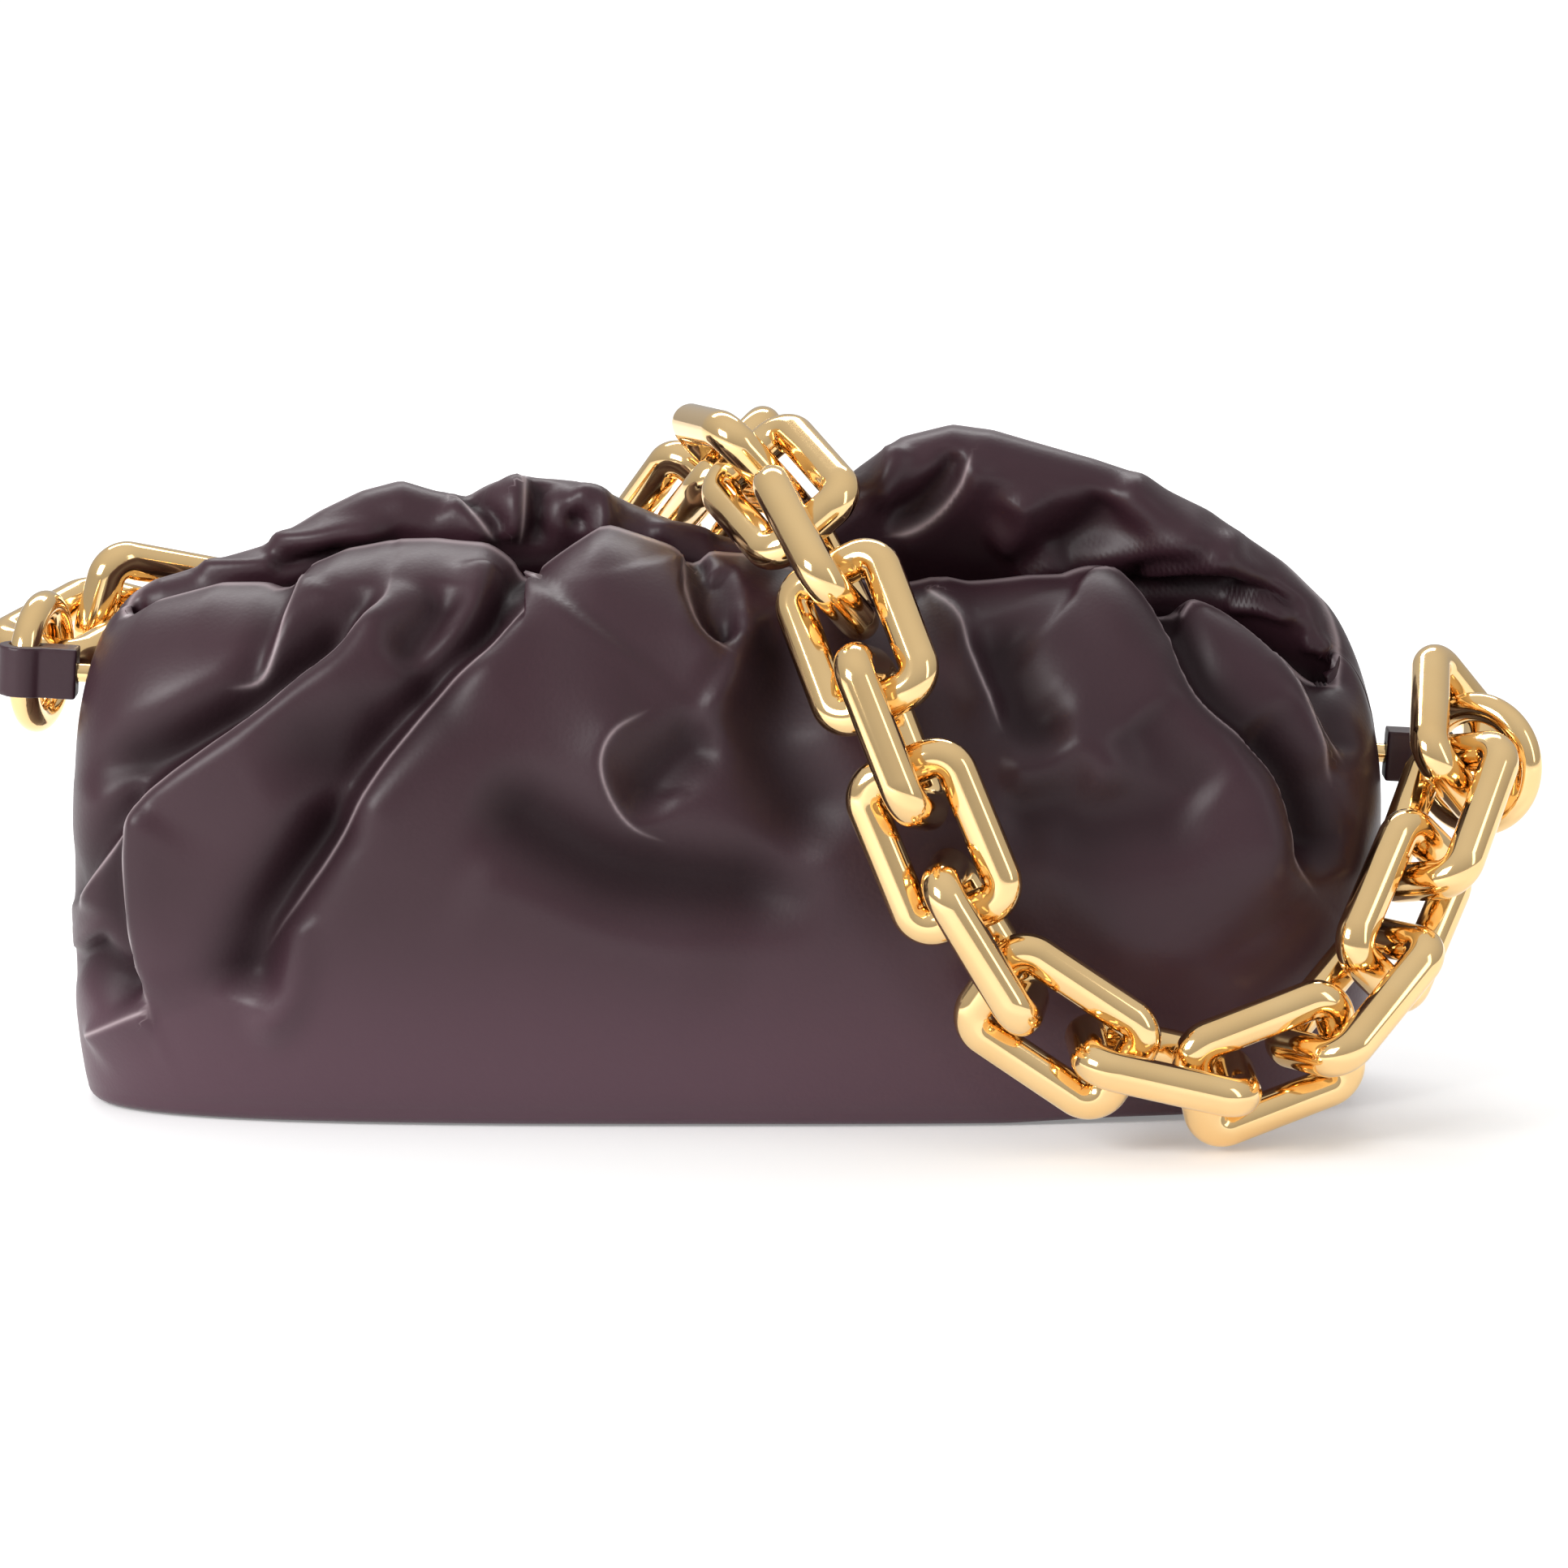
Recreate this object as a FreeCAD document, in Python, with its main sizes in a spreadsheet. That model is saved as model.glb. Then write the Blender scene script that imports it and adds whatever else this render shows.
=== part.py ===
# Chain shoulder bag: a soft gathered pouch on a flat base, with a hinged frame hidden in its mouth
# and a heavy chain that runs from the left end, behind and over the pouch, down its front to the
# floor and up to the right end.
# Millimetres. Origin at the centre of the base on the floor, +X to the viewer's right, -Y to the
# viewer, +Z up.

import FreeCAD, Part
import Sketcher
import math
import os
from FreeCAD import Placement, Rotation, Vector

# Driving dimensions

SIZES = {
    # Walls of the soft pouch
    "leather_wall": 2.4,
    "lining_wall": 0.8,
    "base_wall": 2.4,
    "board_wall": 2.0,
    "layer_gap": 0.3,
    # Plan of the pouch at its base, its belly and its mouth
    "base_half_length": 146.0,
    "belly_half_length": 153.5,
    "mouth_half_length": 142.0,
    "base_half_depth": 44.0,
    "belly_half_depth": 56.0,
    "mouth_half_depth": 8.0,
    "mouth_shift": 3.0,
    "belly_level": 0.38,
    "plan_power": 3.2,
    # Heights of the gathered rim: its ends, the front crown and the two billows behind
    "rim_left": 115.0,
    "rim_right": 103.0,
    "front_crown": 18.0,
    "front_crown_spread": 120.0,
    "left_billow": 38.0,
    "left_billow_x": -62.0,
    "left_billow_spread": 62.0,
    "right_billow": 54.0,
    "right_billow_x": 72.0,
    "right_billow_spread": 52.0,
    # Hinge line of the mouth frame, which also carries the tabs of the chain
    "hinge_left_height": 100.0,
    "hinge_right_height": 81.0,
    "pin_radius": 2.2,
    "pin_fit": 0.06,
    "pin_passage": 0.3,
    "pin_head_radius": 3.4,
    "pin_head_wall": 1.2,
    "plate_wall": 2.4,
    "plate_width": 12.0,
    "plate_height": 14.0,
    "plate_inset": 3.0,
    "plate_corner": 3.0,
    # Frame bows and their magnets
    "bow_width": 7.0,
    "bow_thickness": 2.6,
    "bow_gap": 2.4,
    "bow_end": 8.5,
    "bow_rise": 28.0,
    "lug_radius": 4.4,
    "lug_wall": 2.0,
    "lug_gap": 0.3,
    "magnet_radius": 2.8,
    "magnet_gap": 0.4,
    "magnet_spacing": 36.0,
    # Tabs and end rings
    "tab_leather": 2.2,
    "tab_width": 12.0,
    "tab_fit": 0.35,
    "tab_clearance": 2.6,
    "tab_reach_left": 12.9,
    "tab_reach_right": 9.9,
    "pin_in_tab": 3.2,
    "ring_diameter": 34.0,
    "ring_wire": 7.0,
    "ring_turn_left": -102.0,
    "ring_turn_right": -35.0,
    # Chain
    "link_length": 45.0,
    "link_width": 31.8,
    "link_wire": 9.2,
    "link_corner": 5.4,
    "link_play": 0.6,
    "link_play_most": 1.0,
    "chain_grid": 1.0,
    "chain_stand_off": 16.5,
    "chain_back_off": 18.5,
    "chain_over_rim": 21.0,
}

# Places on the pouch where the chain lies: x in steps of chain_grid, and the level up the wall from 0 at
# the base to 1 at the rim. The chain stands off the leather by chain_back_off or chain_stand_off.
CHAIN_BEHIND = [(-27, 0.72), (-14, 0.84), (-4, 0.94)]
CHAIN_FRONT = [(22, 0.965), (33, 0.83), (41, 0.70), (51, 0.54), (61, 0.38)]
# The middle of the way over the mouth, in x and y; it lies chain_over_rim above the rim
CHAIN_OVER = (6, 4)
# The loop from the left ring to the back: distance short of the bag's left end, distance out from its
# belly, and height over the left hinge
CHAIN_LEFT = [(25.5, 2.5, 3), (49.5, 12.5, -7), (75.5, 16, -11), (101.5, 16, -7.5)]
# The loop on the floor, measured in the same way from the right end, and its rise to the right ring, with
# heights over the right hinge
CHAIN_FLOOR = [(84, 16, 37), (63, 17, 24), (38.5, 14, 18.5), (15, 7, 27)]
CHAIN_RISE = [(0, -5, -38), (-9.5, -18, -20), (-13.5, -25, -10)]
# Turn of the links about the chain beyond a quarter for each link: share of the run, degrees
LINK_TURNS = [(0.0, 0), (0.42, 0), (1.0, -2)]
# Where the end links hang on their rings, in degrees round the ring, and the way they leave it
LEFT_HANG = 14
LEFT_LEAVE = Vector(0.53, 0.80, 0.20)
RIGHT_HANG = 118
RIGHT_LEAVE = Vector(-0.10, -0.83, -0.50)

UP = Vector(0, 0, 1)

doc = FreeCAD.newDocument("chain_shoulder_bag")
sheet = doc.addObject("Spreadsheet::Sheet", "sizes")


def fill_sheet():
    """Put every driving dimension into the spreadsheet under its own alias."""
    for row, (name, value) in enumerate(SIZES.items(), start=1):
        sheet.set("A%d" % row, name)
        sheet.set("B%d" % row, str(value))
        sheet.setAlias("B%d" % row, name)
    doc.recompute()


def size(name):
    """Value of one cell of the sheet."""
    return float(getattr(sheet, name))


def bind(thing, **expressions):
    """Tie properties of an object to the sheet; two underscores stand for a dot."""
    for prop, expression in expressions.items():
        words = [w if w not in SIZES else "sizes." + w for w in expression.split()]
        thing.setExpression(prop.replace("__", "."), " ".join(words))
    return thing


def primitive(kind, name, **expressions):
    """A Part primitive or boolean whose sizes come from the sheet."""
    return bind(doc.addObject("Part::" + kind, name), **expressions)


def boolean(kind, name, base, tool):
    """Part::Cut or Part::Common of two objects."""
    thing = doc.addObject("Part::" + kind, name)
    thing.Base = base
    thing.Tool = tool
    return thing


def fuse(name, *things):
    """One solid from several that touch."""
    thing = doc.addObject("Part::MultiFuse", name)
    thing.Shapes = list(things)
    thing.Refine = True
    return thing


def feature(name, shape):
    """A Part::Feature for a form that no parametric object gives."""
    thing = doc.addObject("Part::Feature", name)
    thing.Shape = shape
    return thing


# Form of the pouch

def hump(x, centre, height, spread):
    """A smooth rise of the rim."""
    return height * math.exp(-((x - centre) / spread) ** 2)


def rim_height(x, across):
    """Height of the rim at x; across runs from -1 on the front to 1 on the back."""
    share = (x / size("belly_half_length") + 1) / 2
    ends = size("rim_left") + share * (size("rim_right") - size("rim_left"))
    front = hump(x, 0, size("front_crown"), size("front_crown_spread"))
    back = sum(hump(x, size(side + "_billow_x"), size(side + "_billow"), size(side + "_billow_spread"))
               for side in ("left", "right"))
    blend = (across + 1) / 2
    blend = blend * blend * (3 - 2 * blend)
    return ends + front + blend * (back - front)


def outline(level, measure, dome):
    """Half length or half depth of the pouch at a level: it swells to the belly and domes to the mouth."""
    base, belly, mouth = (size("%s_half_%s" % (ring, measure)) for ring in ("base", "belly", "mouth"))
    middle = size("belly_level")
    if level < middle:
        return belly - (belly - base) * ((middle - level) / middle) ** 2
    rise = (level - middle) / (1 - middle)
    return mouth + (belly - mouth) * math.sqrt(max(0.0, 1 - rise ** dome))


def half_length(level):
    return outline(level, "length", 4.0)


def half_depth(level):
    return outline(level, "depth", 2.4)


def skin(x, level, side):
    """Point of the outer leather at x, at a level, in front (-1) or behind (1)."""
    power = size("plan_power")
    run = min(1.0, abs(x - size("mouth_shift") * level) / half_length(level))
    across = side * (1 - run ** power) ** (1 / power)
    height = size("base_wall") + level * (rim_height(x, across) - size("base_wall"))
    return Vector(x, across * half_depth(level), height)


def skin_normal(x, level, side):
    """Outward direction of the leather there, square to the length of the bag."""
    step = 0.004
    along = skin(x, level, side) - skin(x, level - step, side)
    return (along.cross(Vector(1, 0, 0)) * side).normalize()


def leather_end(height, side):
    """Where the outer leather ends on the right (1) or left (-1) at a height, on the middle plane."""
    low, high = 0.0, 1.0
    for _ in range(40):
        level = (low + high) / 2
        x = size("mouth_shift") * level + side * half_length(level)
        wall = rim_height(x, 0) - size("base_wall")
        if size("base_wall") + level * wall < height:
            low = level
        else:
            high = level
    return x


def plan_point(level, turn, inset):
    """Place on the plan of the pouch at a level: x, y and the share of the way to front or back."""
    c, s = math.cos(turn), math.sin(turn)
    power = size("plan_power")
    reach = (abs(c) ** power + abs(s) ** power) ** (-1 / power)
    x = size("mouth_shift") * level + c * reach * (half_length(level) - inset)
    return x, s * reach * (half_depth(level) - inset), s * reach


def wall_surface(side, inset, floor):
    """Surface of the front (-1) or back (1) wall, drawn in by inset, from the floor to the rim."""
    levels = [0.0, 0.14, 0.28, 0.42, 0.56, 0.68, 0.78, 0.86, 0.92, 0.96, 0.985, 1.0]
    columns = 36
    grid = []
    for level in levels:
        row = []
        for k in range(columns + 1):
            x, y, across = plan_point(level, side * math.pi * (1 - k / columns), inset)
            row.append(Vector(x, y, floor + level * (rim_height(x, across) - inset - floor)))
        grid.append(row)
    surface = Part.BSplineSurface()
    surface.interpolate(grid)
    return surface


def wall(name, side, inset, thickness, floor, inner_floor):
    """Closed solid of one wall between its outer and its inner surface."""
    faces = [wall_surface(side, inset, floor).toShape(),
             wall_surface(side, inset + thickness, inner_floor).toShape()]
    rims = [edge_pair for edge_pair in zip(*(face.Edges for face in faces))]
    faces += [Part.makeRuledSurface(outer, inner) for outer, inner in rims]
    shell = Part.makeShell(faces)
    shell.sewShape()
    solid = Part.Solid(shell)
    if solid.Volume < 0:
        solid.reverse()
    return feature(name, solid)


def base_outline(name, inset, floor):
    """Closed outline of the base, drawn in by inset."""
    columns = 48
    points = []
    for k in range(columns):
        x, y, _ = plan_point(0.0, 2 * math.pi * k / columns, inset)
        points.append(Vector(x, y, floor))
    curve = Part.BSplineCurve()
    curve.interpolate(Points=points, PeriodicFlag=True)
    return feature(name, Part.Wire(curve.toShape()))


def slab(name, inset, floor, thickness):
    """Flat plate with the plan of the base."""
    plate = doc.addObject("Part::Extrusion", name)
    plate.Base = base_outline(name + "_outline", inset, floor)
    plate.DirMode = "Custom"
    plate.Dir = UP
    plate.Solid = True
    return bind(plate, LengthFwd=thickness)


# Hinge line

class HingeLine:
    """The straight line through both hinge pins, with stations measured from its middle."""

    def __init__(self):
        self.left = Vector(leather_end(size("hinge_left_height"), -1), 0, size("hinge_left_height"))
        self.right = Vector(leather_end(size("hinge_right_height"), 1), 0, size("hinge_right_height"))
        self.middle = (self.left + self.right) * 0.5
        self.half = (self.right - self.left).Length / 2
        self.turn = Rotation(Vector(1, 0, 0), self.right - self.left)

    def at(self, station, side=1):
        """Placement on the line whose x axis points outwards on that side."""
        way = Rotation(UP, 0 if side > 0 else 180)
        return Placement(self.middle + self.turn.multVec(Vector(side * station, 0, 0)), self.turn * way)


def layers_inside():
    """Distance from the outer leather to the free face of the lining."""
    return size("leather_wall") + size("lining_wall") + 2 * size("layer_gap")


def build_pouch(line):
    """Leather panels, lining, base and board; returns the objects by node name."""
    gap = size("layer_gap")
    leather, lining = size("leather_wall"), size("lining_wall")
    floor = size("base_wall")
    lining_floor = floor + size("board_wall") + gap
    nodes = {
        "base_panel": slab("base_panel", 0, 0, "base_wall"),
        "base_board": slab("base_board", leather + gap, floor, "board_wall"),
        "base_lining": slab("base_lining", leather + 2 * gap + lining, lining_floor, "lining_wall"),
    }
    for half, side in (("front", -1), ("back", 1)):
        for layer, inset, thickness, foot in (("_panel", 0, leather, floor),
                                              ("_lining", leather + gap, lining, lining_floor)):
            whole = wall(half + layer + "_whole", side, inset, thickness, foot, foot)
            nodes[half + layer] = boolean("Cut", half + layer, whole, pin_passages(line, half + layer))
    return nodes


def pin_passages(line, name):
    """The holes that the hinge pins pass through."""
    hole = primitive("Cylinder", name + "_passages", Radius="pin_radius + pin_passage")
    hole.Height = 4 * line.half
    hole.Placement = line.at(-2 * line.half) * Placement(Vector(), Rotation(Vector(0, 1, 0), 90))
    return hole


def rounded_plate_sketch(body, plane, length, width, corner, less=None):
    """Sketch of a rounded rectangle about the origin, bound to the sheet; less is taken off both sizes."""
    sketch = body.newObject("Sketcher::SketchObject", body.Name + "_outline")
    sketch.AttachmentSupport = [(f, "") for f in body.Origin.OriginFeatures if f.Role == plane]
    sketch.MapMode = "FlatFace"
    off = size(less) if less else 0.0
    a, b, r = (size(length) - off) / 2, (size(width) - off) / 2, size(corner)
    corners = [(a, -b), (a, b), (-a, b), (-a, -b)]
    for k in range(4):
        x, y = corners[k]
        nx, ny = corners[(k + 1) % 4]
        ux, uy = (nx > x) - (nx < x), (ny > y) - (ny < y)
        sketch.addGeometry(Part.LineSegment(Vector(x + ux * r, y + uy * r, 0),
                                            Vector(nx - ux * r, ny - uy * r, 0)))
        centre = Vector(math.copysign(a - r, nx), math.copysign(b - r, ny), 0)
        start = math.radians(90 * k)
        circle = Part.Circle(centre, UP, r)
        sketch.addGeometry(Part.ArcOfCircle(circle, start, start + math.pi / 2))
    tail = " - 2 * %s" % corner + (" - %s" % less if less else "")
    return constrain_rounded_plate(sketch, length + tail, width + tail, corner)


def constrain_rounded_plate(sketch, length, width, corner):
    """Constraints of the rounded rectangle: line 2k is followed by arc 2k + 1."""
    lines, arcs = (0, 2, 4, 6), (1, 3, 5, 7)
    for k in range(4):
        sketch.addConstraint(Sketcher.Constraint("Tangent", lines[k], 2, arcs[k], 1))
        sketch.addConstraint(Sketcher.Constraint("Tangent", arcs[k], 2, lines[(k + 1) % 4], 1))
    for k in (1, 2, 3):
        sketch.addConstraint(Sketcher.Constraint("Equal", arcs[0], arcs[k]))
    sketch.addConstraint(Sketcher.Constraint("Vertical", lines[0]))
    sketch.addConstraint(Sketcher.Constraint("Horizontal", lines[1]))
    sketch.addConstraint(Sketcher.Constraint("Symmetric", arcs[0], 3, arcs[2], 3, -1, 1))
    for name, kind, first, expression in (("straight_x", "DistanceX", arcs[1], length),
                                          ("straight_y", "DistanceY", arcs[3], width)):
        ends = [sketch.Geometry[g].Center for g in (first, arcs[0])]
        now = ends[1].x - ends[0].x if kind == "DistanceX" else ends[1].y - ends[0].y
        index = sketch.addConstraint(Sketcher.Constraint(kind, first, 3, arcs[0], 3, now))
        sketch.renameConstraint(index, name)
        bind(sketch, **{"Constraints__" + name: expression})
    index = sketch.addConstraint(Sketcher.Constraint("Radius", arcs[0], sketch.Geometry[arcs[0]].Radius))
    sketch.renameConstraint(index, "corner")
    bind(sketch, Constraints__corner=corner)
    return sketch


# Hinge hardware and mouth frame

def stations(line):
    """Where the hinge pieces stand on the line, measured from its middle to each end."""
    places = {"plate": line.half - layers_inside() - size("plate_inset") - size("plate_wall")}
    places["back_lug"] = places["plate"] - size("lug_gap") - size("lug_wall")
    places["front_lug"] = places["back_lug"] - size("lug_gap") - size("lug_wall")
    places["pin_head"] = places["front_lug"] - size("lug_gap") - size("pin_head_wall")
    places["tab"] = line.half + size("tab_clearance")
    return places


def along_line(line, station, side=1):
    """Placement of a cylinder that points outwards along the hinge line."""
    return line.at(station, side) * Placement(Vector(), Rotation(Vector(0, 1, 0), 90))


def hinge_pin(name, line, places, side):
    """Pin with a flat head inside; it carries both lugs, the plate and the tab."""
    shank = primitive("Cylinder", name + "_shank", Radius="pin_radius")
    shank.Height = places["tab"] + size("pin_in_tab") - places["pin_head"]
    head = primitive("Cylinder", name + "_head", Radius="pin_head_radius", Height="pin_head_wall")
    for piece in (shank, head):
        piece.Placement = along_line(line, places["pin_head"], side)
    return fuse(name, shank, head)


def hinge_plate(name, line, places, side):
    """Plate inside the end of the mouth, with the hole that holds the pin."""
    body = doc.addObject("PartDesign::Body", name)
    sketch = rounded_plate_sketch(body, "YZ_Plane", "plate_width", "plate_height", "plate_corner")
    add_hole(sketch, "pin_radius")
    pad = body.newObject("PartDesign::Pad", name + "_pad")
    pad.Profile = sketch
    bind(pad, Length="plate_wall")
    body.Placement = line.at(places["plate"], side)
    return body


def add_hole(sketch, radius):
    """A round hole at the middle of a plate sketch."""
    hole = sketch.addGeometry(Part.Circle(Vector(), UP, 2.0))
    sketch.addConstraint(Sketcher.Constraint("Coincident", hole, 3, -1, 1))
    index = sketch.addConstraint(Sketcher.Constraint("Radius", hole, 2.0))
    sketch.renameConstraint(index, "hole")
    bind(sketch, Constraints__hole=radius)


def bow_height(x, reach):
    """Middle of the bow above the hinge line, on the circle through its ends and its crown."""
    sag = size("bow_rise") - size("bow_end")
    radius = (reach ** 2 + sag ** 2) / (2 * sag)
    return size("bow_rise") - radius + math.sqrt(radius ** 2 - x ** 2)


def bow_band(name, line, reach, near_face):
    """Flat arched band of one frame half, from lug to lug."""
    half = size("bow_width") / 2
    upper, lower = ([Vector(x, 0, z + offset) for x, z in
                     ((-reach, size("bow_end")), (0, size("bow_rise")), (reach, size("bow_end")))]
                    for offset in (half, -half))
    curves = [Part.Arc(*upper), Part.Arc(*lower)]
    curves += [Part.LineSegment(upper[k], lower[k]) for k in (0, 2)]
    edges = Part.__sortEdges__([curve.toShape() for curve in curves])
    outline_wire = feature(name + "_outline", Part.Wire(edges))
    band = doc.addObject("Part::Extrusion", name + "_band")
    band.Base = outline_wire
    band.DirMode = "Custom"
    band.Dir = Vector(0, 1, 0)
    band.Solid = True
    bind(band, LengthFwd="bow_thickness")
    band.Placement = line.at(0) * Placement(Vector(0, near_face, 0), Rotation())
    return band


def frame_bow(half, line, places):
    """One half of the mouth frame: the band, and a lug with an arm at each end."""
    name = half + "_bow"
    near_face = size("bow_gap") / 2 if half == "back" else -size("bow_gap") / 2 - size("bow_thickness")
    station = places[half + "_lug"]
    pieces = [bow_band(name, line, station + size("lug_wall"), near_face)]
    for end, side in (("left", -1), ("right", 1)):
        disc = primitive("Cylinder", "%s_%s_disc" % (name, end), Radius="lug_radius", Height="lug_wall")
        disc.Placement = along_line(line, station, side)
        arm = primitive("Box", "%s_%s_arm" % (name, end), Length="lug_wall", Width="bow_thickness",
                        Height="bow_end")
        inner = station if side > 0 else -station - size("lug_wall")
        arm.Placement = line.at(0) * Placement(Vector(inner, near_face, 0), Rotation())
        pieces += [disc, arm]
    bore = primitive("Cylinder", name + "_bore", Radius="pin_radius + pin_fit")
    bore.Height = 4 * line.half
    bore.Placement = along_line(line, -2 * line.half)
    return boolean("Cut", name, fuse(name + "_whole", *pieces), bore)


def magnets(half, line, places):
    """Two flat magnets on the inner face of a bow."""
    reach = places[half + "_lug"] + size("lug_wall")
    near_face = size("bow_gap") / 2 if half == "back" else -size("magnet_gap") / 2
    discs = []
    for end in (-1, 1):
        disc = primitive("Cylinder", "%s_magnet_%d" % (half, len(discs) + 1), Radius="magnet_radius",
                         Height="( bow_gap - magnet_gap ) / 2")
        x = end * size("magnet_spacing")
        spot = Vector(x, near_face, bow_height(x, reach))
        disc.Placement = line.at(0) * Placement(spot, Rotation(Vector(1, 0, 0), 90))
        discs.append(disc)
    group = doc.addObject("Part::Compound", half + "_magnets")
    group.Links = discs
    return group


def build_frame(line, places):
    """Hinge pins and plates, both bows and their magnets."""
    nodes = {}
    for end, side in (("left", -1), ("right", 1)):
        nodes[end + "_hinge_pin"] = hinge_pin(end + "_hinge_pin", line, places, side)
        nodes[end + "_hinge_plate"] = hinge_plate(end + "_hinge_plate", line, places, side)
    for half in ("front", "back"):
        nodes[half + "_bow"] = frame_bow(half, line, places)
        nodes[half + "_magnets"] = magnets(half, line, places)
    return nodes


# Tabs and end rings

def ring_place(line, places, end, side):
    """Placement of an end ring: x towards the far side of the ring from its tab, z square to it."""
    turn = Rotation(UP, size("ring_turn_" + end))
    radius = (size("ring_diameter") - size("ring_wire")) / 2
    centre = Vector(size("tab_reach_" + end), 0, 0) + turn.multVec(Vector(radius, 0, 0))
    return line.at(places["tab"], side) * Placement(centre, turn * Rotation(Vector(1, 0, 0), 90))


def ring_hold(line, places, end, side, degrees):
    """Middle of the ring's wire at an angle round the ring, 180 being in the tab; its way and radius."""
    radius = (size("ring_diameter") - size("ring_wire")) / 2
    turn = math.radians(degrees)
    place = ring_place(line, places, end, side)
    spot = place.multVec(Vector(radius * math.cos(turn), radius * math.sin(turn), 0))
    way = place.Rotation.multVec(Vector(-math.sin(turn), math.cos(turn), 0))
    return spot, way, size("ring_wire") / 2


def ring_torus(name, line, places, end, side, wire):
    """The end ring, or the room for it in its tab."""
    torus = primitive("Torus", name, Radius1="( ring_diameter - ring_wire ) / 2", Radius2=wire)
    torus.Placement = ring_place(line, places, end, side)
    return torus


def tab(name, line, places, end, side):
    """Leather strap that turns on the hinge pin and loops round the ring."""
    thickness = 2 * (size("pin_radius") + size("pin_fit") + size("tab_leather"))
    strap = primitive("Box", name + "_strap", Length="tab_reach_" + end, Height="tab_width",
                      Width="2 * ( pin_radius + pin_fit + tab_leather )")
    corner = Vector(0, -thickness / 2, -size("tab_width") / 2)
    strap.Placement = line.at(places["tab"], side) * Placement(corner, Rotation())
    loop = primitive("Cylinder", name + "_loop", Height="tab_width",
                     Radius="ring_wire / 2 + tab_fit + tab_leather")
    foot = Vector(size("tab_reach_" + end), 0, -size("tab_width") / 2)
    loop.Placement = line.at(places["tab"], side) * Placement(foot, Rotation())
    whole = fuse(name + "_whole", strap, loop)
    room = ring_torus(name + "_room", line, places, end, side, "ring_wire / 2 + tab_fit")
    bore = primitive("Cylinder", name + "_bore", Radius="pin_radius + pin_fit",
                     Height="pin_in_tab + 2 * pin_passage")
    bore.Placement = along_line(line, places["tab"] - size("pin_passage"), side)
    return boolean("Cut", name, boolean("Cut", name + "_looped", whole, room), bore)


def build_ends(line, places):
    """Tab and ring at each end."""
    nodes = {}
    for end, side in (("left", -1), ("right", 1)):
        nodes[end + "_tab"] = tab(end + "_tab", line, places, end, side)
        nodes[end + "_ring"] = ring_torus(end + "_ring", line, places, end, side, "ring_wire / 2")
    return nodes


# Chain

def run_route(start, leave, middle, finish, arrive):
    """Smooth line of a run of the chain between two wires, as closely spaced points."""
    step = size("link_length") - 2 * size("link_wire")
    leave, arrive = leave * (1 / leave.Length), arrive * (1 / arrive.Length)
    first = start[0] - leave * start[2]
    last = finish[0] - arrive * finish[2]
    points = [first, first + leave * step] + middle + [last + arrive * step, last]
    curve = Part.BSplineCurve()
    curve.interpolate(Points=points)
    return curve.discretize(Number=1500)


def walk(route, pitch, count):
    """Pivots at equal steps along the route, at most count steps."""
    pivots = [route[0]]
    k = 1
    while len(pivots) <= count and k < len(route):
        reach = (route[k] - pivots[-1]).Length
        if reach < pitch:
            k += 1
            continue
        before = (route[k - 1] - pivots[-1]).Length
        share = (pitch - before) / (reach - before)
        pivots.append(route[k - 1] + (route[k] - route[k - 1]) * share)
    return pivots


def run_pitch(route, count):
    """Longest step that fits the route count times."""
    length = sum((b - a).Length for a, b in zip(route, route[1:]))
    short, wide = 0.8 * length / count, length / count
    for _ in range(50):
        pitch = (short + wide) / 2
        if len(walk(route, pitch, count)) <= count:
            wide = pitch
        else:
            short = pitch
    return short


def run_pivots(line, places):
    """Pivots of the fewest links that span the way; a chain too loose for it lies further out."""
    inside = size("link_length") - 2 * size("link_wire")
    route = chain_route(line, places, 0)
    length = sum((b - a).Length for a, b in zip(route, route[1:]))
    count = math.ceil(length / (inside - size("link_play")))
    let_out = 0
    while run_pitch(route, count) < inside - size("link_play_most") and let_out < size("link_length"):
        let_out += size("link_play")
        route = chain_route(line, places, let_out)
    pitch = run_pitch(route, count)
    print("run of %d links, pitch %.2f, play %.2f" % (count, pitch, inside - pitch))
    return walk(route, pitch, count)


def turn_at(turns, share):
    """Turn of the links at a share of the run, between the chosen places."""
    for (a, turn_a), (b, turn_b) in zip(turns, turns[1:]):
        if share <= b:
            return turn_a + (turn_b - turn_a) * (share - a) / (b - a)
    return turns[-1][1]


def run_turns(count):
    """The turns along the run; the last link lies right in its ring whether their count is even or odd."""
    share, turn = LINK_TURNS[-1]
    return LINK_TURNS[:-1] + [(share, turn + 90 * ((count + 1) % 2))]


def run_places(pivots, wire_way):
    """Placements of the links of a run: x along the chain, z square to the link, a quarter turn apart."""
    places = []
    turns = run_turns(len(pivots) - 1)
    ways = [(b - a).normalize() for a, b in zip(pivots, pivots[1:])]
    square = (wire_way - ways[0] * wire_way.dot(ways[0])).normalize()
    for k, way in enumerate(ways):
        if k:
            square = Rotation(ways[k - 1], way).multVec(square)
        turn = 90 * k + turn_at(turns, k / (len(ways) - 1))
        normal = Rotation(way, turn).multVec(square)
        centre = (pivots[k] + pivots[k + 1]) * 0.5
        places.append(Placement(centre, Rotation(way, normal.cross(way), normal, "XZY")))
    return centred(places)


def centred(places):
    """Links moved sideways in their own planes: their neighbours' ends lie mid-way between their sides."""
    end = Vector((size("link_length") - size("link_wire")) / 2, 0, 0)
    moved = []
    for k, place in enumerate(places):
        ends = [other.multVec(end) for other in places[max(k - 1, 0):k]]
        ends += [other.multVec(end * -1) for other in places[k + 1:k + 2]]
        aside = sum(place.inverse().multVec(spot).y for spot in ends) / 2
        moved.append(place * Placement(Vector(0, aside, 0), Rotation()))
    return moved


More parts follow.
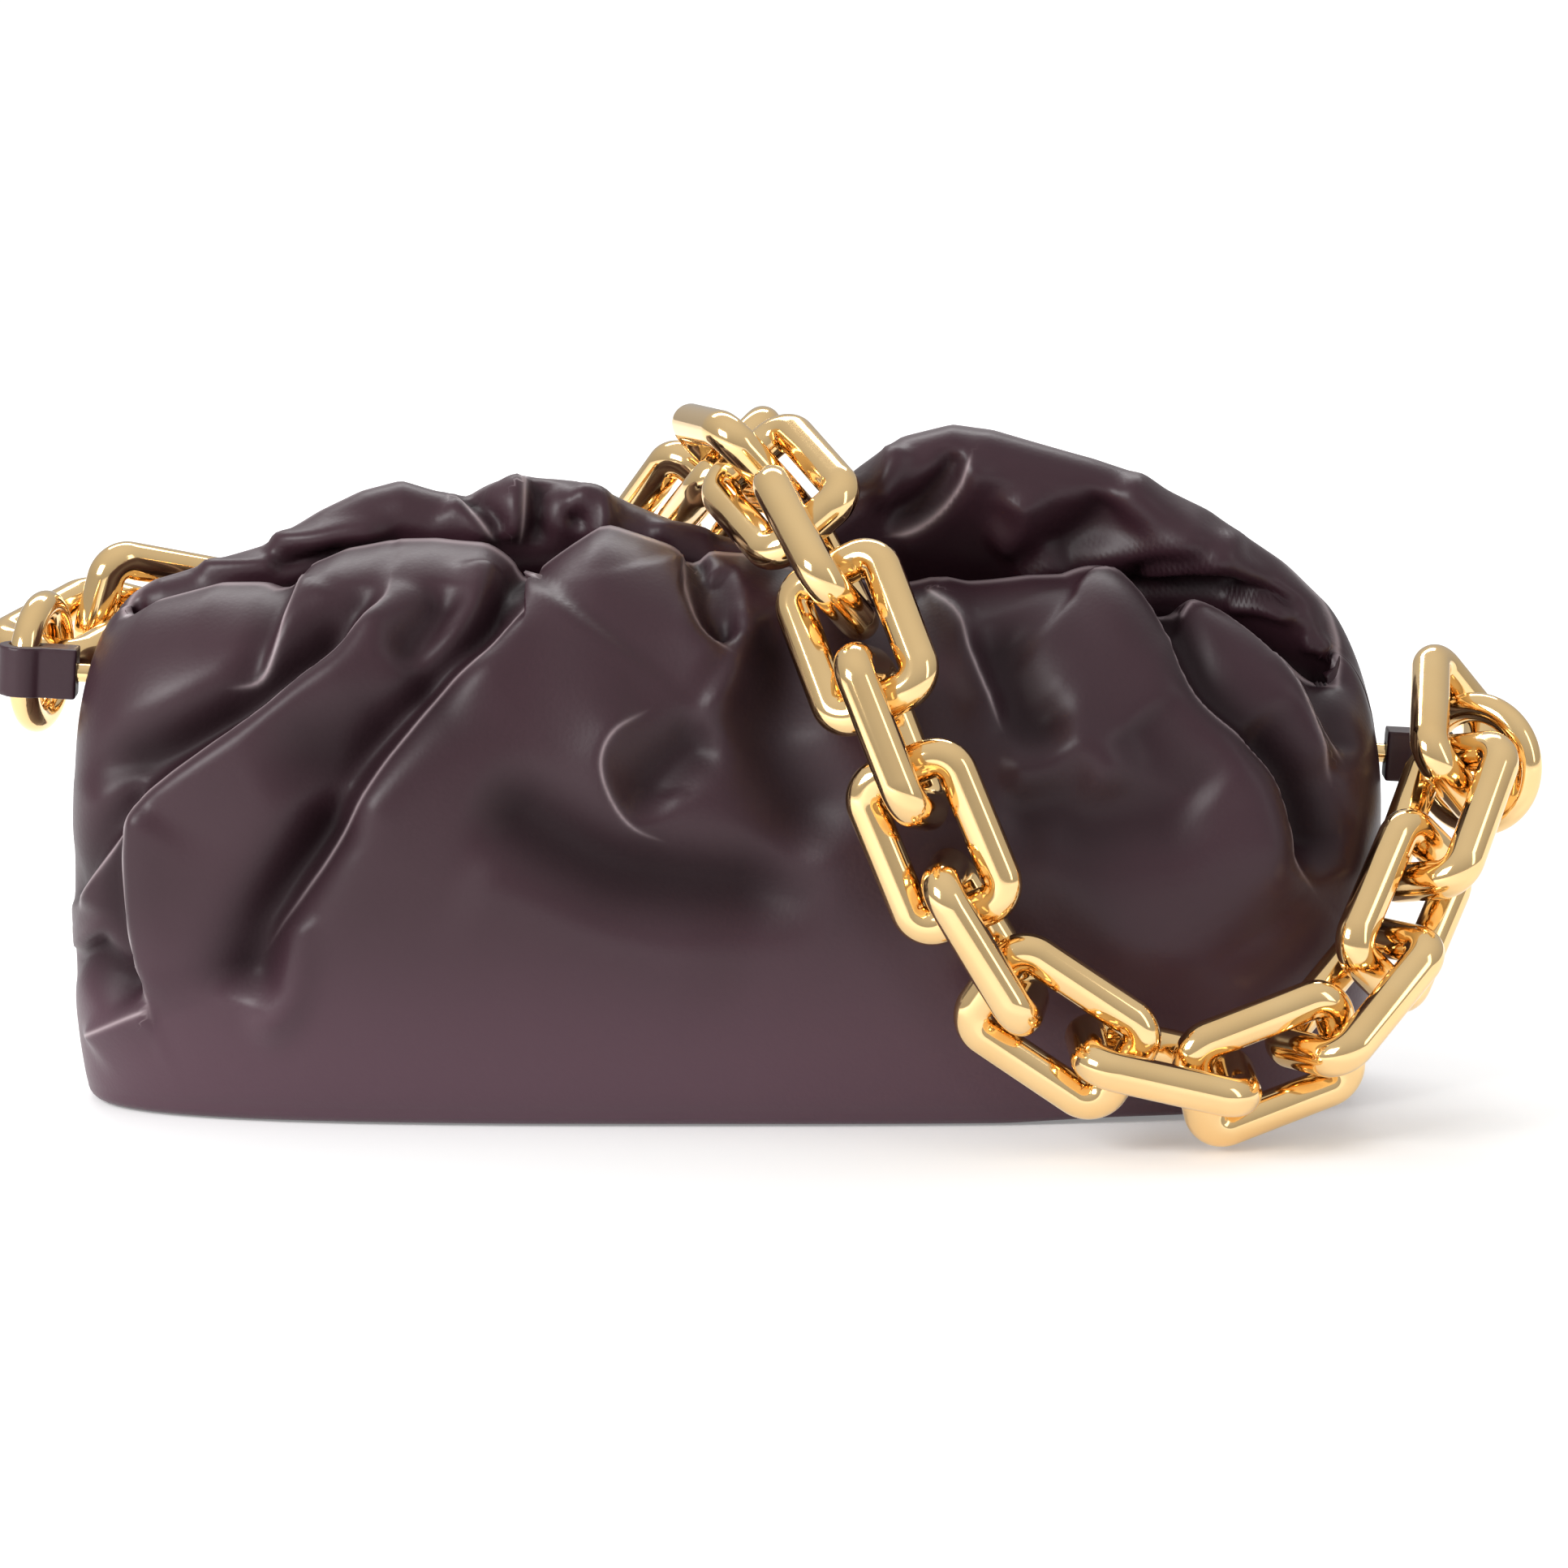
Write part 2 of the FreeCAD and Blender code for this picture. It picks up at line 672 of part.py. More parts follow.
def on_leather(spots, side, off):
    """Places of the chain that stand off the front (-1) or the back (1)."""
    grid = size("chain_grid")
    return [skin(x * grid, level, side) + skin_normal(x * grid, level, side) * off for x, level in spots]


def free_loop(spots, side, height, let_out=0):
    """Places of the chain clear of the leather, behind the left end (-1) or before the right end (1)."""
    length, depth, grid = size("belly_half_length"), size("belly_half_depth") + let_out, size("chain_grid")
    return [Vector(side * (length - short * grid), -side * (depth + out * grid), height + rise * grid)
            for short, out, rise in spots]


def chain_route(line, places, let_out):
    """The way of the chain from the left ring to the right ring, its floor loop let out by a distance."""
    left = ring_hold(line, places, "left", -1, LEFT_HANG)
    right = ring_hold(line, places, "right", 1, RIGHT_HANG)
    x, y = (place * size("chain_grid") for place in CHAIN_OVER)
    middle = free_loop(CHAIN_LEFT, -1, size("hinge_left_height"))
    middle += on_leather(CHAIN_BEHIND, 1, size("chain_back_off"))
    middle += [Vector(x, y, rim_height(x, 0) + size("chain_over_rim"))]
    middle += on_leather(CHAIN_FRONT, -1, size("chain_stand_off"))
    middle += free_loop(CHAIN_FLOOR, 1, 0, let_out) + free_loop(CHAIN_RISE, 1, size("hinge_right_height"))
    return run_route(left, LEFT_LEAVE, middle, right, RIGHT_LEAVE)


def chain_places(line, places):
    """Placements of all links, from the left ring to the right ring."""
    wire_way = ring_hold(line, places, "left", -1, LEFT_HANG)[1]
    return run_places(run_pivots(line, places), wire_way)


def link_form():
    """One link: round wire bent to a rounded rectangle, in the XY plane along X."""
    body = doc.addObject("PartDesign::Body", "link_form")
    path = rounded_plate_sketch(body, "XY_Plane", "link_length", "link_width", "link_corner", "link_wire")
    section = body.newObject("Sketcher::SketchObject", "link_section")
    section.AttachmentSupport = [(f, "") for f in body.Origin.OriginFeatures if f.Role == "YZ_Plane"]
    section.MapMode = "FlatFace"
    circle = section.addGeometry(Part.Circle(Vector(10, 0, 0), UP, 4.0))
    section.addConstraint(Sketcher.Constraint("PointOnObject", circle, 3, -1))
    offset = section.addConstraint(Sketcher.Constraint("DistanceX", -1, 1, circle, 3, 10.0))
    section.renameConstraint(offset, "offset")
    radius = section.addConstraint(Sketcher.Constraint("Radius", circle, 4.0))
    section.renameConstraint(radius, "radius")
    bind(section, Constraints__offset="( link_width - link_wire ) / 2", Constraints__radius="link_wire / 2")
    pipe = body.newObject("PartDesign::AdditivePipe", "link_pipe")
    pipe.Profile = section
    pipe.Spine = path
    return body


def build_chain(line, places):
    """The links, each a piece of its own, turned about a quarter from one to the next."""
    form = link_form()
    doc.recompute()
    nodes = {}
    for k, place in enumerate(chain_places(line, places), start=1):
        name = "chain_link_%02d" % k
        nodes[name] = feature(name, form.Shape.copy())
        nodes[name].Placement = place
    return nodes


def check_and_write(nodes):
    """Stop at anything that failed, then write one file for each node."""
    for thing in doc.Objects:
        if "Invalid" in thing.State or "Error" in thing.State:
            raise RuntimeError("%s failed: %s" % (thing.Name, thing.State))
    os.makedirs("parts", exist_ok=True)
    for node, thing in nodes.items():
        thing.Label = node
        shape = thing.Shape
        if shape.isNull() or not shape.isValid() or not shape.Solids:
            raise RuntimeError("%s has no valid solid" % node)
        shape.exportStep("parts/%s.step" % node)
    print("wrote %d nodes" % len(nodes))


fill_sheet()
hinge_line = HingeLine()
hinge_places = stations(hinge_line)
bag_nodes = build_pouch(hinge_line)
bag_nodes.update(build_frame(hinge_line, hinge_places))
bag_nodes.update(build_ends(hinge_line, hinge_places))
bag_nodes.update(build_chain(hinge_line, hinge_places))
doc.recompute()
check_and_write(bag_nodes)
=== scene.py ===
# %% [markdown]
# # A gathered leather pouch with a heavy chain
# The bag is soft leather drawn together over a hidden hinged frame, with a polished chain lying over
# it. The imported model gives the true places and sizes. This script dresses it: draped leather, cloth
# lining, polished links, and a plain white studio.

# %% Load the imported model
import math

import bpy
import numpy as np
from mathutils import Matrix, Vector


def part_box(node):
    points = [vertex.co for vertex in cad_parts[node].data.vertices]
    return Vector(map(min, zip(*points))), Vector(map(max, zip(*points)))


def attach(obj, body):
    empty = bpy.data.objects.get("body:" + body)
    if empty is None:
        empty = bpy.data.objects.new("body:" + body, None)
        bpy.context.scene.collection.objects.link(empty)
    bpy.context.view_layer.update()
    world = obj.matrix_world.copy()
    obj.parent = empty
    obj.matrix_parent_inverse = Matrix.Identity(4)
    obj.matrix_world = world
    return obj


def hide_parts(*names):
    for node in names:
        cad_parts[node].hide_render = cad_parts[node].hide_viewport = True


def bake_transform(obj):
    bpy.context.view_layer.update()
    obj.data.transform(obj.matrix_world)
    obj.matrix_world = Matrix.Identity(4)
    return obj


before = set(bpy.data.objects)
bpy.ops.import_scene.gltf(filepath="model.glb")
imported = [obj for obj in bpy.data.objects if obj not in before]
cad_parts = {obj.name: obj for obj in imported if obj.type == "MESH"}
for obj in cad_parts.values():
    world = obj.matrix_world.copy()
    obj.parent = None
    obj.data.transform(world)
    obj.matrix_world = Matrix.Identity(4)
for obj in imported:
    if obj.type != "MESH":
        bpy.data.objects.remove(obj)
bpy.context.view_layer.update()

# %% [markdown]
# ## The camera
# A product photograph is taken from far away with a long lens, a little above the object. The same
# numbers that place the camera also tell where a point of the leather falls in the picture, so that
# folds can be drawn where the eye sees them.

# %% Camera and picture coordinates
PICTURE = 1932
PICTURE_MIDDLE = PICTURE / 2
PIXEL = 0.0001925
MM = 0.001
CAMERA_RISE = math.radians(10.0)
CAMERA_AWAY = 1.5
SENSOR_MM = 36.0
aim = np.array([0.0152, 0.0, 0.0734])
look = np.array([0.0, math.cos(CAMERA_RISE), -math.sin(CAMERA_RISE)])
picture_up = np.array([0.0, math.sin(CAMERA_RISE), math.cos(CAMERA_RISE)])
eye = aim - look * CAMERA_AWAY

bpy.ops.object.select_all(action="DESELECT")
bpy.ops.object.camera_add(location=eye, rotation=(math.pi / 2 - CAMERA_RISE, 0, 0))
camera = bpy.context.object
camera.data.sensor_width = SENSOR_MM
camera.data.lens = SENSOR_MM * CAMERA_AWAY / (PICTURE * PIXEL)
bpy.context.scene.camera = camera


def picture_place(points):
    """Where points fall in the picture, in pixels from its top left corner."""
    ray = points - eye
    scale = CAMERA_AWAY / (ray @ look) / PIXEL
    return np.stack([PICTURE_MIDDLE + ray[..., 0] * scale,
                     PICTURE_MIDDLE - (ray @ picture_up) * scale], axis=-1)


print("lens %.0f mm" % camera.data.lens)

# %% [markdown]
# ## Material helper
# Shader sums are easier to read as Python sums. A Signal wraps one output of a node, and the usual
# operators add Math nodes. A Recipe is a node tree that adds any other node by its type, and a Finish is
# the recipe of one material.

# %% Signal
class Signal:
    """One output of a node, for use in sums."""

    def __init__(self, recipe, socket):
        self.recipe = recipe
        self.socket = socket

    def math(self, operation, first, second):
        return self.recipe.node("ShaderNodeMath", {"operation": operation}, {0: first, 1: second})

    def __add__(self, other):
        return self.math("ADD", self, other)

    def __sub__(self, other):
        return self.math("SUBTRACT", self, other)

    def __rsub__(self, other):
        return self.math("SUBTRACT", other, self)

    def __mul__(self, other):
        return self.math("MULTIPLY", self, other)

    def __pow__(self, other):
        return self.math("POWER", self, other)

    __radd__ = __add__
    __rmul__ = __mul__


# %% Recipe
class Recipe:
    """A node tree that grows node by node."""

    def __init__(self, tree):
        self.tree = tree

    def node(self, kind, settings=None, sockets=None, output=0):
        """Add a node: its settings first, then the values or links of its sockets."""
        made = self.tree.nodes.new(kind)
        for name, value in (settings or {}).items():
            if name == "stops":
                self.ramp(made, value)
            else:
                setattr(made, name, value)
        for name, value in (sockets or {}).items():
            self.feed(made.inputs[name], value)
        return Signal(self, made.outputs[output])

    def ramp(self, made, stops):
        elements = made.color_ramp.elements
        while len(elements) < len(stops):
            elements.new(0.5)
        for element, (place, grey) in zip(elements, stops):
            element.position = place
            element.color = (grey, grey, grey, 1)

    def feed(self, socket, value):
        if isinstance(value, Signal):
            self.tree.links.new(value.socket, socket)
        else:
            socket.default_value = value


# %% Finish
class Finish(Recipe):
    """A material with one Principled shader."""

    def __init__(self, name, **constants):
        self.material = bpy.data.materials.new(name)
        self.material.use_nodes = True
        super().__init__(self.material.node_tree)
        self.shader = self.tree.nodes["Principled BSDF"]
        for socket, value in constants.items():
            self.set(socket.replace("_", " "), value)

    def set(self, name, value):
        self.feed(self.shader.inputs[name], value)

    def object_place(self):
        return self.node("ShaderNodeTexCoord", output="Object")

    def noise(self, scale, detail=3.0, roughness=0.5, place=None):
        return self.node("ShaderNodeTexNoise", None,
                         {"Vector": place or self.object_place(), "Scale": scale, "Detail": detail,
                          "Roughness": roughness})

    def attribute(self, name):
        return self.node("ShaderNodeAttribute", {"attribute_name": name}, output="Fac")

    def mix(self, share, first, second):
        return self.node("ShaderNodeMix", {"data_type": "RGBA"}, {0: share, 6: first, 7: second}, output=2)

    def bump(self, height, strength, distance):
        return self.node("ShaderNodeBump", None,
                         {"Height": height, "Strength": strength, "Distance": distance})


def paint(piece, finish):
    """Give a piece one material."""
    piece.data.materials.clear()
    piece.data.materials.append(finish.material)


# %% [markdown]
# ## The leather's finish
# The leather is smooth and dyed dark aubergine, with a fine grain and a soft satin gloss. Light and shade
# are also painted into its colour: painted light from the floor makes it paler low down, painted shade
# darkens the creases, and a painted pale highlight line runs along the sharp crests and the lip. Noise on
# the object's own coordinates clouds the dye. Creases and crests can't be found by a shader, so the pieces
# bring them along as attributes: a mask for the painted crease shade, one for the painted crest highlight,
# and the distance across the nearest crest.

# %% Leather
LEATHER_DARK = (0.020, 0.0072, 0.0105, 1)
LEATHER_MID = (0.054, 0.0185, 0.0285, 1)
# colour of painted light from the floor, for the lower leather
LEATHER_PAINTED_BOUNCE = (0.110, 0.054, 0.075, 1)
# colour of painted shade, for the creases
LEATHER_PAINTED_SHADE = (0.006, 0.0022, 0.003, 1)
# colour of the painted highlight along the crests and the lip
LEATHER_HIGHLIGHT = (0.46, 0.36, 0.38, 1)
CLOUD_SCALE = 14.0
CREASE_SCALE = 260.0
PORE_SCALE = 950.0
BOUNCE_HEIGHTS = {"From Min": 0.06, "From Max": 0.005}
BOUNCE_SHARE = 0.75
CREASE_SHADE_SHARE = 0.7
CREST_NARROW = 3.0
CREST_FALL = -2.0
GRAIN_STRENGTH = 0.18
GRAIN_DEPTH = 0.0004

leather = Finish("aubergine_leather", IOR=1.45, Coat_Roughness=0.40, Specular_IOR_Level=0.22)
leather_place = leather.object_place()
clouds = leather.noise(CLOUD_SCALE, 4.0, 0.55, leather_place)
dye_and_painted_light = leather.mix(clouds * 0.7 + 0.15, LEATHER_DARK, LEATHER_MID)
# painted light: the leather is made paler low down, for the light it would catch from the white floor
height = leather.node("ShaderNodeSeparateXYZ", None, {0: leather_place}, output="Z")
low = leather.node("ShaderNodeMapRange", {"interpolation_type": "SMOOTHSTEP"},
                   {"Value": height, **BOUNCE_HEIGHTS})
dye_and_painted_light = leather.mix(low * BOUNCE_SHARE, dye_and_painted_light, LEATHER_PAINTED_BOUNCE)
crease_shade_mask = leather.attribute("hollow")
crest_gap = leather.attribute("crest_gap")
# painted highlight: a pale line along the crests and the lip stands in for the light they catch
painted_highlight = leather.attribute("crest") * (crest_gap * crest_gap * CREST_NARROW + 1.0) ** CREST_FALL
# painted shade: the leather is darkened in the creases, by the hollow mask that the pieces bring along
dye_and_painted_light = leather.mix(crease_shade_mask * CREASE_SHADE_SHARE, dye_and_painted_light, LEATHER_PAINTED_SHADE)
leather.set("Base Color", leather.mix(painted_highlight * (clouds * 0.8 + 0.25), dye_and_painted_light, LEATHER_HIGHLIGHT))
pores = leather.node("ShaderNodeTexVoronoi", {"feature": "SMOOTH_F1"},
                     {"Vector": leather_place, "Scale": PORE_SCALE, "Smoothness": 0.6})
wrinkles = leather.noise(CREASE_SCALE, 5.0, 0.6, leather_place)
leather.set("Roughness", 0.38 + clouds * 0.10 + pores * 0.06 + crease_shade_mask * 0.2 - painted_highlight * 0.12)
leather.set("Coat Weight", 0.42 - crease_shade_mask * 0.38 + painted_highlight * 0.4)
leather.set("Normal", leather.bump(pores * 0.6 + wrinkles * 0.8, GRAIN_STRENGTH, GRAIN_DEPTH))
print("leather has", len(leather.tree.nodes), "nodes")

# %% [markdown]
# ## The other finishes
# The chain is polished plate, so it needs almost no texture, only a faint unevenness. The lining is a
# plain weave on its own UV map, the board is fibrous, and the hidden metal is plain steel.

# %% Polished gold
GOLD_DEEP = (0.90, 0.60, 0.27, 1)
GOLD_PALE = (0.97, 0.70, 0.36, 1)
gold = Finish("polished_gold", Metallic=1.0)
gold.set("Base Color", gold.mix(gold.noise(60.0, 2.0), GOLD_DEEP, GOLD_PALE))
gold.set("Roughness", 0.07 + gold.noise(220.0, 3.0) * 0.06)

# %% Woven lining
LINING_DARK = (0.050, 0.030, 0.034, 1)
LINING_PALE = (0.13, 0.085, 0.09, 1)
THREADS = {"X": 120.0, "Y": 60.0}
lining_cloth = Finish("woven_lining", Sheen_Weight=0.25)
weave_place = lining_cloth.node("ShaderNodeTexCoord", output="UV")
warp, weft = [lining_cloth.node("ShaderNodeTexWave", {"bands_direction": way},
                                {"Vector": weave_place, "Scale": threads, "Distortion": 0.4})
              for way, threads in THREADS.items()]
weave = warp * weft
lining_cloth.set("Base Color", lining_cloth.mix(weave, LINING_DARK, LINING_PALE))
lining_cloth.set("Roughness", 0.78 + weave * 0.1)
lining_cloth.set("Normal", lining_cloth.bump(weave, 0.4, 0.0003))

# %% Board, steel and magnet
BOARD_DARK = (0.05, 0.045, 0.045, 1)
BOARD_PALE = (0.14, 0.125, 0.12, 1)
board = Finish("stiff_board")
board_fibre = board.noise(420.0, 5.0, 0.7)
board.set("Base Color", board.mix(board_fibre, BOARD_DARK, BOARD_PALE))
board.set("Roughness", 0.75 + board_fibre * 0.15)
board.set("Normal", board.bump(board_fibre, 0.3, 0.0004))

STEEL_DARK = (0.46, 0.45, 0.43, 1)
STEEL_PALE = (0.60, 0.59, 0.57, 1)
steel = Finish("plain_steel", Metallic=1.0)
steel_lines = steel.noise(700.0, 2.0)
steel.set("Base Color", steel.mix(steel_lines, STEEL_DARK, STEEL_PALE))
steel.set("Roughness", 0.28 + steel_lines * 0.16)

MAGNET_DARK = (0.55, 0.55, 0.56, 1)
MAGNET_PALE = (0.68, 0.68, 0.69, 1)
magnet = Finish("plated_magnet", Metallic=1.0)
magnet_cloud = magnet.noise(300.0, 3.0)
magnet.set("Base Color", magnet.mix(magnet_cloud, MAGNET_DARK, MAGNET_PALE))
magnet.set("Roughness", 0.16 + magnet_cloud * 0.12)
print("made", len(bpy.data.materials), "materials")

# %% [markdown]
# ## The form of the pouch
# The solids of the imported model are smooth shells: a flat base, a swelling belly and a dome that draws
# in to a narrow mouth. The leather starts from the same form, worked out by the same few sizes, so that
# it sits where its solid is. Only the ends of its base are a little fuller, because they sag.

# %% Pouch form
FLOOR = 0.0024
BELLY_LEVEL = 0.38
PLAN_POWER = 3.2
MOUTH_SHIFT = 0.003
LENGTHS = (0.1505, 0.1545, 0.142)
DEPTHS = (0.044, 0.056, 0.008)
LENGTH_DOME = 4.0
DEPTH_DOME = 2.4
LEFT_END, RIGHT_END = 0.115, 0.103
FRONT_HUMP = (0.0, 0.018, 0.120)
LEFT_BILLOW = (-0.062, 0.038, 0.062)
RIGHT_BILLOW = (0.072, 0.054, 0.052)


def hump(x, centre, height, spread):
    return height * np.exp(-((x - centre) / spread) ** 2)


def rim_height(x, across):
    """Height of the rim of the solid; across is -1 on the front and 1 on the back."""
    ends = LEFT_END + (x / LENGTHS[1] + 1) / 2 * (RIGHT_END - LEFT_END)
    front = hump(x, *FRONT_HUMP)
    back = hump(x, *LEFT_BILLOW) + hump(x, *RIGHT_BILLOW)
    share = (across + 1) / 2
    share = share * share * (3 - 2 * share)
    return ends + front + share * (back - front)


def swell(level, sizes, dome):
    """Half length or half depth at a level."""
    base, belly, mouth = sizes
    low = belly - (belly - base) * np.clip((BELLY_LEVEL - level) / BELLY_LEVEL, 0, 1) ** 2
    rise = np.clip((level - BELLY_LEVEL) / (1 - BELLY_LEVEL), 0, 1)
    high = mouth + (belly - mouth) * np.sqrt(np.clip(1 - rise ** dome, 0, 1))
    return np.where(level < BELLY_LEVEL, low, high)


def plan_reach(turn):
    """Cosine and sine of a turn, and how far the rounded plan reaches that way."""
    c, s = np.cos(turn), np.sin(turn)
    return c, s, (np.abs(c) ** PLAN_POWER + np.abs(s) ** PLAN_POWER) ** (-1 / PLAN_POWER)


def wall_points(turn, level):
    """Points of the wall at turns round the plan and levels up it."""
    c, s, reach = plan_reach(turn)
    x = MOUTH_SHIFT * level + c * reach * swell(level, LENGTHS, LENGTH_DOME)
    y = s * reach * swell(level, DEPTHS, DEPTH_DOME)
    z = FLOOR + level * (rim_height(x, s * reach) - FLOOR)
    return np.stack([x, y, z], axis=-1)


# %% Even spacing and easing
BELLY_STEPS = 2001


def even_turns(shares, side):
    """Turns round the plan that are evenly spaced along the belly, from the left end to the right."""
    fine = side * math.pi * (1 - np.linspace(0, 1, BELLY_STEPS))
    belly = wall_points(fine, np.full(BELLY_STEPS, BELLY_LEVEL))[:, :2]
    run = np.concatenate([[0], np.cumsum(np.linalg.norm(np.diff(belly, axis=0), axis=1))])
    return np.interp(shares, run / run[-1], fine)


def ease(value, low, high):
    """Smooth step from 0 at low to 1 at high."""
    t = np.clip((value - low) / (high - low), 0, 1)
    return t * t * (3 - 2 * t)


print("pouch is %.0f mm long and %.0f mm deep" % (2 * LENGTHS[1] / MM, 2 * DEPTHS[1] / MM))

# %% [markdown]
# ## Gathers along the lips
# The rim of the solid is an even curve. The real lips rise and dip where the leather is gathered. Their
# lines are drawn in picture pixels, point by point, and the leather is lifted to meet them.

# %% Lip lines
FRONT_LIP = [(90, 790), (145, 770), (200, 737), (276, 717), (350, 716), (388, 700), (430, 677), (480, 666),
             (540, 664), (600, 671), (640, 690), (668, 722), (690, 705), (716, 682), (748, 657), (790, 671),
             (820, 683), (842, 696), (875, 677), (915, 676), (960, 690), (1004, 700), (1050, 706),
             (1096, 714), (1146, 711), (1190, 719), (1265, 716), (1310, 720), (1352, 708), (1380, 730),
             (1405, 750), (1459, 739), (1502, 758), (1565, 790), (1602, 818), (1640, 838), (1690, 850)]
BACK_LIP = [(90, 770), (193, 708), (250, 694), (327, 671), (397, 628), (448, 604), (496, 592), (540, 606),
            (575, 610), (610, 597), (646, 588), (710, 595), (767, 612), (815, 632), (860, 650), (905, 660),
            (960, 655), (1010, 615), (1059, 576), (1109, 541), (1171, 525), (1221, 531), (1290, 549),
            (1346, 564), (1402, 583), (1440, 605), (1490, 630), (1534, 661), (1577, 690), (1621, 735),
            (1659, 790), (1690, 840)]
SEAM_SHARE = 0.07


def line_lift(rim, line):
    """How far each rim point has to rise to lie on a traced line."""
    place = picture_place(rim)
    xs, ys = zip(*line)
    return (place[:, 1] - np.interp(place[:, 0], xs, ys)) * PIXEL / math.cos(CAMERA_RISE)


def lip_lift(rim, line):
    """The same, but with both lips brought together at the end seams."""
    lift = line_lift(rim, line)
    seam = (line_lift(rim[[0, -1]], FRONT_LIP) + line_lift(rim[[0, -1]], BACK_LIP)) / 2
    share = np.linspace(0, 1, len(rim))
    left, right = 1 - ease(share, 0.0, SEAM_SHARE), 1 - ease(1 - share, 0.0, SEAM_SHARE)
    return lift * (1 - left - right) + seam[0] * left + seam[1] * right


print("traced", len(FRONT_LIP), "points of the front lip and", len(BACK_LIP), "of the back lip")

# %% [markdown]
# ## Folds
# A fold in soft leather has a crest, a gentle side that lies over and a steep side that drops into a
# crease. Each one is a line in the picture with a height, the width of both sides and the depth of its
# crease. Plain hollows are lines with a depth alone. Summed up and pushed out along the leather, they
# give the drape.

# %% Lines and places beside them
def smooth_line(points, steps=7):
    """A smooth line through a few points."""
    p = np.array(points, float)
    p = np.vstack([2 * p[0] - p[1], p, 2 * p[-1] - p[-2]])
    t = np.linspace(0, 1, steps, endpoint=False)[:, None]
    pieces = []
    for a, b, c, d in zip(p, p[1:], p[2:], p[3:]):
        pieces.append(0.5 * (2 * b + (c - a) * t + (2 * a - 5 * b + 4 * c - d) * t ** 2
                             + (3 * b - a - 3 * c + d) * t ** 3))
    return np.vstack(pieces + [p[-2:-1]])


def beside_line(place, points):
    """Signed distance of each place from a line, right of its way being positive, and its share along."""
    line = smooth_line(points)
    steps = np.diff(line, axis=0)
    lengths = np.linalg.norm(steps, axis=1)
    starts = np.concatenate([[0], np.cumsum(lengths)])
    best = np.full(len(place), np.inf)
    away = np.zeros(len(place))
    along = np.zeros(len(place))
    for k in range(len(steps)):
        way = steps[k] / lengths[k]
        offset = place - line[k]
        reach = np.clip(offset @ way, 0, lengths[k])
        distance = np.linalg.norm(offset - reach[:, None] * way, axis=1)
        nearer = distance < best
        side = np.where(offset @ np.array([-way[1], way[0]]) >= 0, 1.0, -1.0)
        best = np.where(nearer, distance, best)
        away = np.where(nearer, distance * side, away)
        along = np.where(nearer, starts[k] + reach, along)
    return away, along / starts[-1]


# %% Kinds of folds
def fold(line, height, gentle, steep, crease, width, side=1, fade=(0.10, 0.20)):
    """A fold that lies over: heights in millimetres, widths in pixels; side 1 is gentle to the right."""
    return dict(line=line, height=height, gentle=gentle, steep=steep, crease=crease, width=width,
                side=side, fade=fade)


def ridge(line, height, width, fade=(0.15, 0.25)):
    return fold(line, height, width, width, 0.0, width, 1, fade)


def hollow(line, depth, width, fade=(0.15, 0.25)):
    return fold(line, 0.0, width, 0.0, depth, width, 1, fade)


# %% Drape
NO_CREST = 60.0
FADE_GAP = 9.0
CREST_WIDTH = 10.0
CREST_ROUND = 0.03
CREST_DROP = 0.17
FLANK_BOW = 0.12
CREASE_AWAY = 1.5
FULL_CREASE = 6.0
FADE_START = -0.02


def flank(u, gentle, steep):
    """How far down its side a place is: a ridge is round on top, a fold that lies over is almost sharp."""
    down = np.where(u >= 0, u / gentle, u / steep)
    if steep < gentle:
        return np.sqrt(down ** 2 + CREST_ROUND) - CREST_DROP + FLANK_BOW * down ** 2
    return down ** 2


def drape(place, folds):
    """Push of all folds at picture places, distance across the nearest crest, painted highlight and shade
    masks.
    """
    push = np.zeros(len(place))
    gap = np.full(len(place), NO_CREST)
    crest = np.zeros(len(place))
    deep = np.zeros(len(place))
    for f in folds:
        away, along = beside_line(place, f["line"])
        u = away * f["side"]
        fade = ease(along, FADE_START, f["fade"][0]) * ease(1 - along, FADE_START, f["fade"][1])
        if f["height"]:
            push += f["height"] * np.exp(-flank(u, f["gentle"], f["steep"])) * fade
        if f["height"] and f["steep"] < f["gentle"]:
            gap = np.where(np.abs(u) + FADE_GAP * (1 - fade) < np.abs(gap), u, gap)
            # the crest mask is kept for the painted highlight along the crest
            crest = np.maximum(crest, np.exp(-(u / CREST_WIDTH) ** 2) * fade)
        if f["crease"]:
            trough = np.exp(-((u + CREASE_AWAY * f["steep"]) / f["width"]) ** 2) * fade
            push -= f["crease"] * trough
            # the trough is kept as the mask of painted shade in the crease
            deep = np.maximum(deep, trough * min(1.0, f["crease"] / FULL_CREASE))
    return push * MM, gap * PIXEL / MM, crest, deep


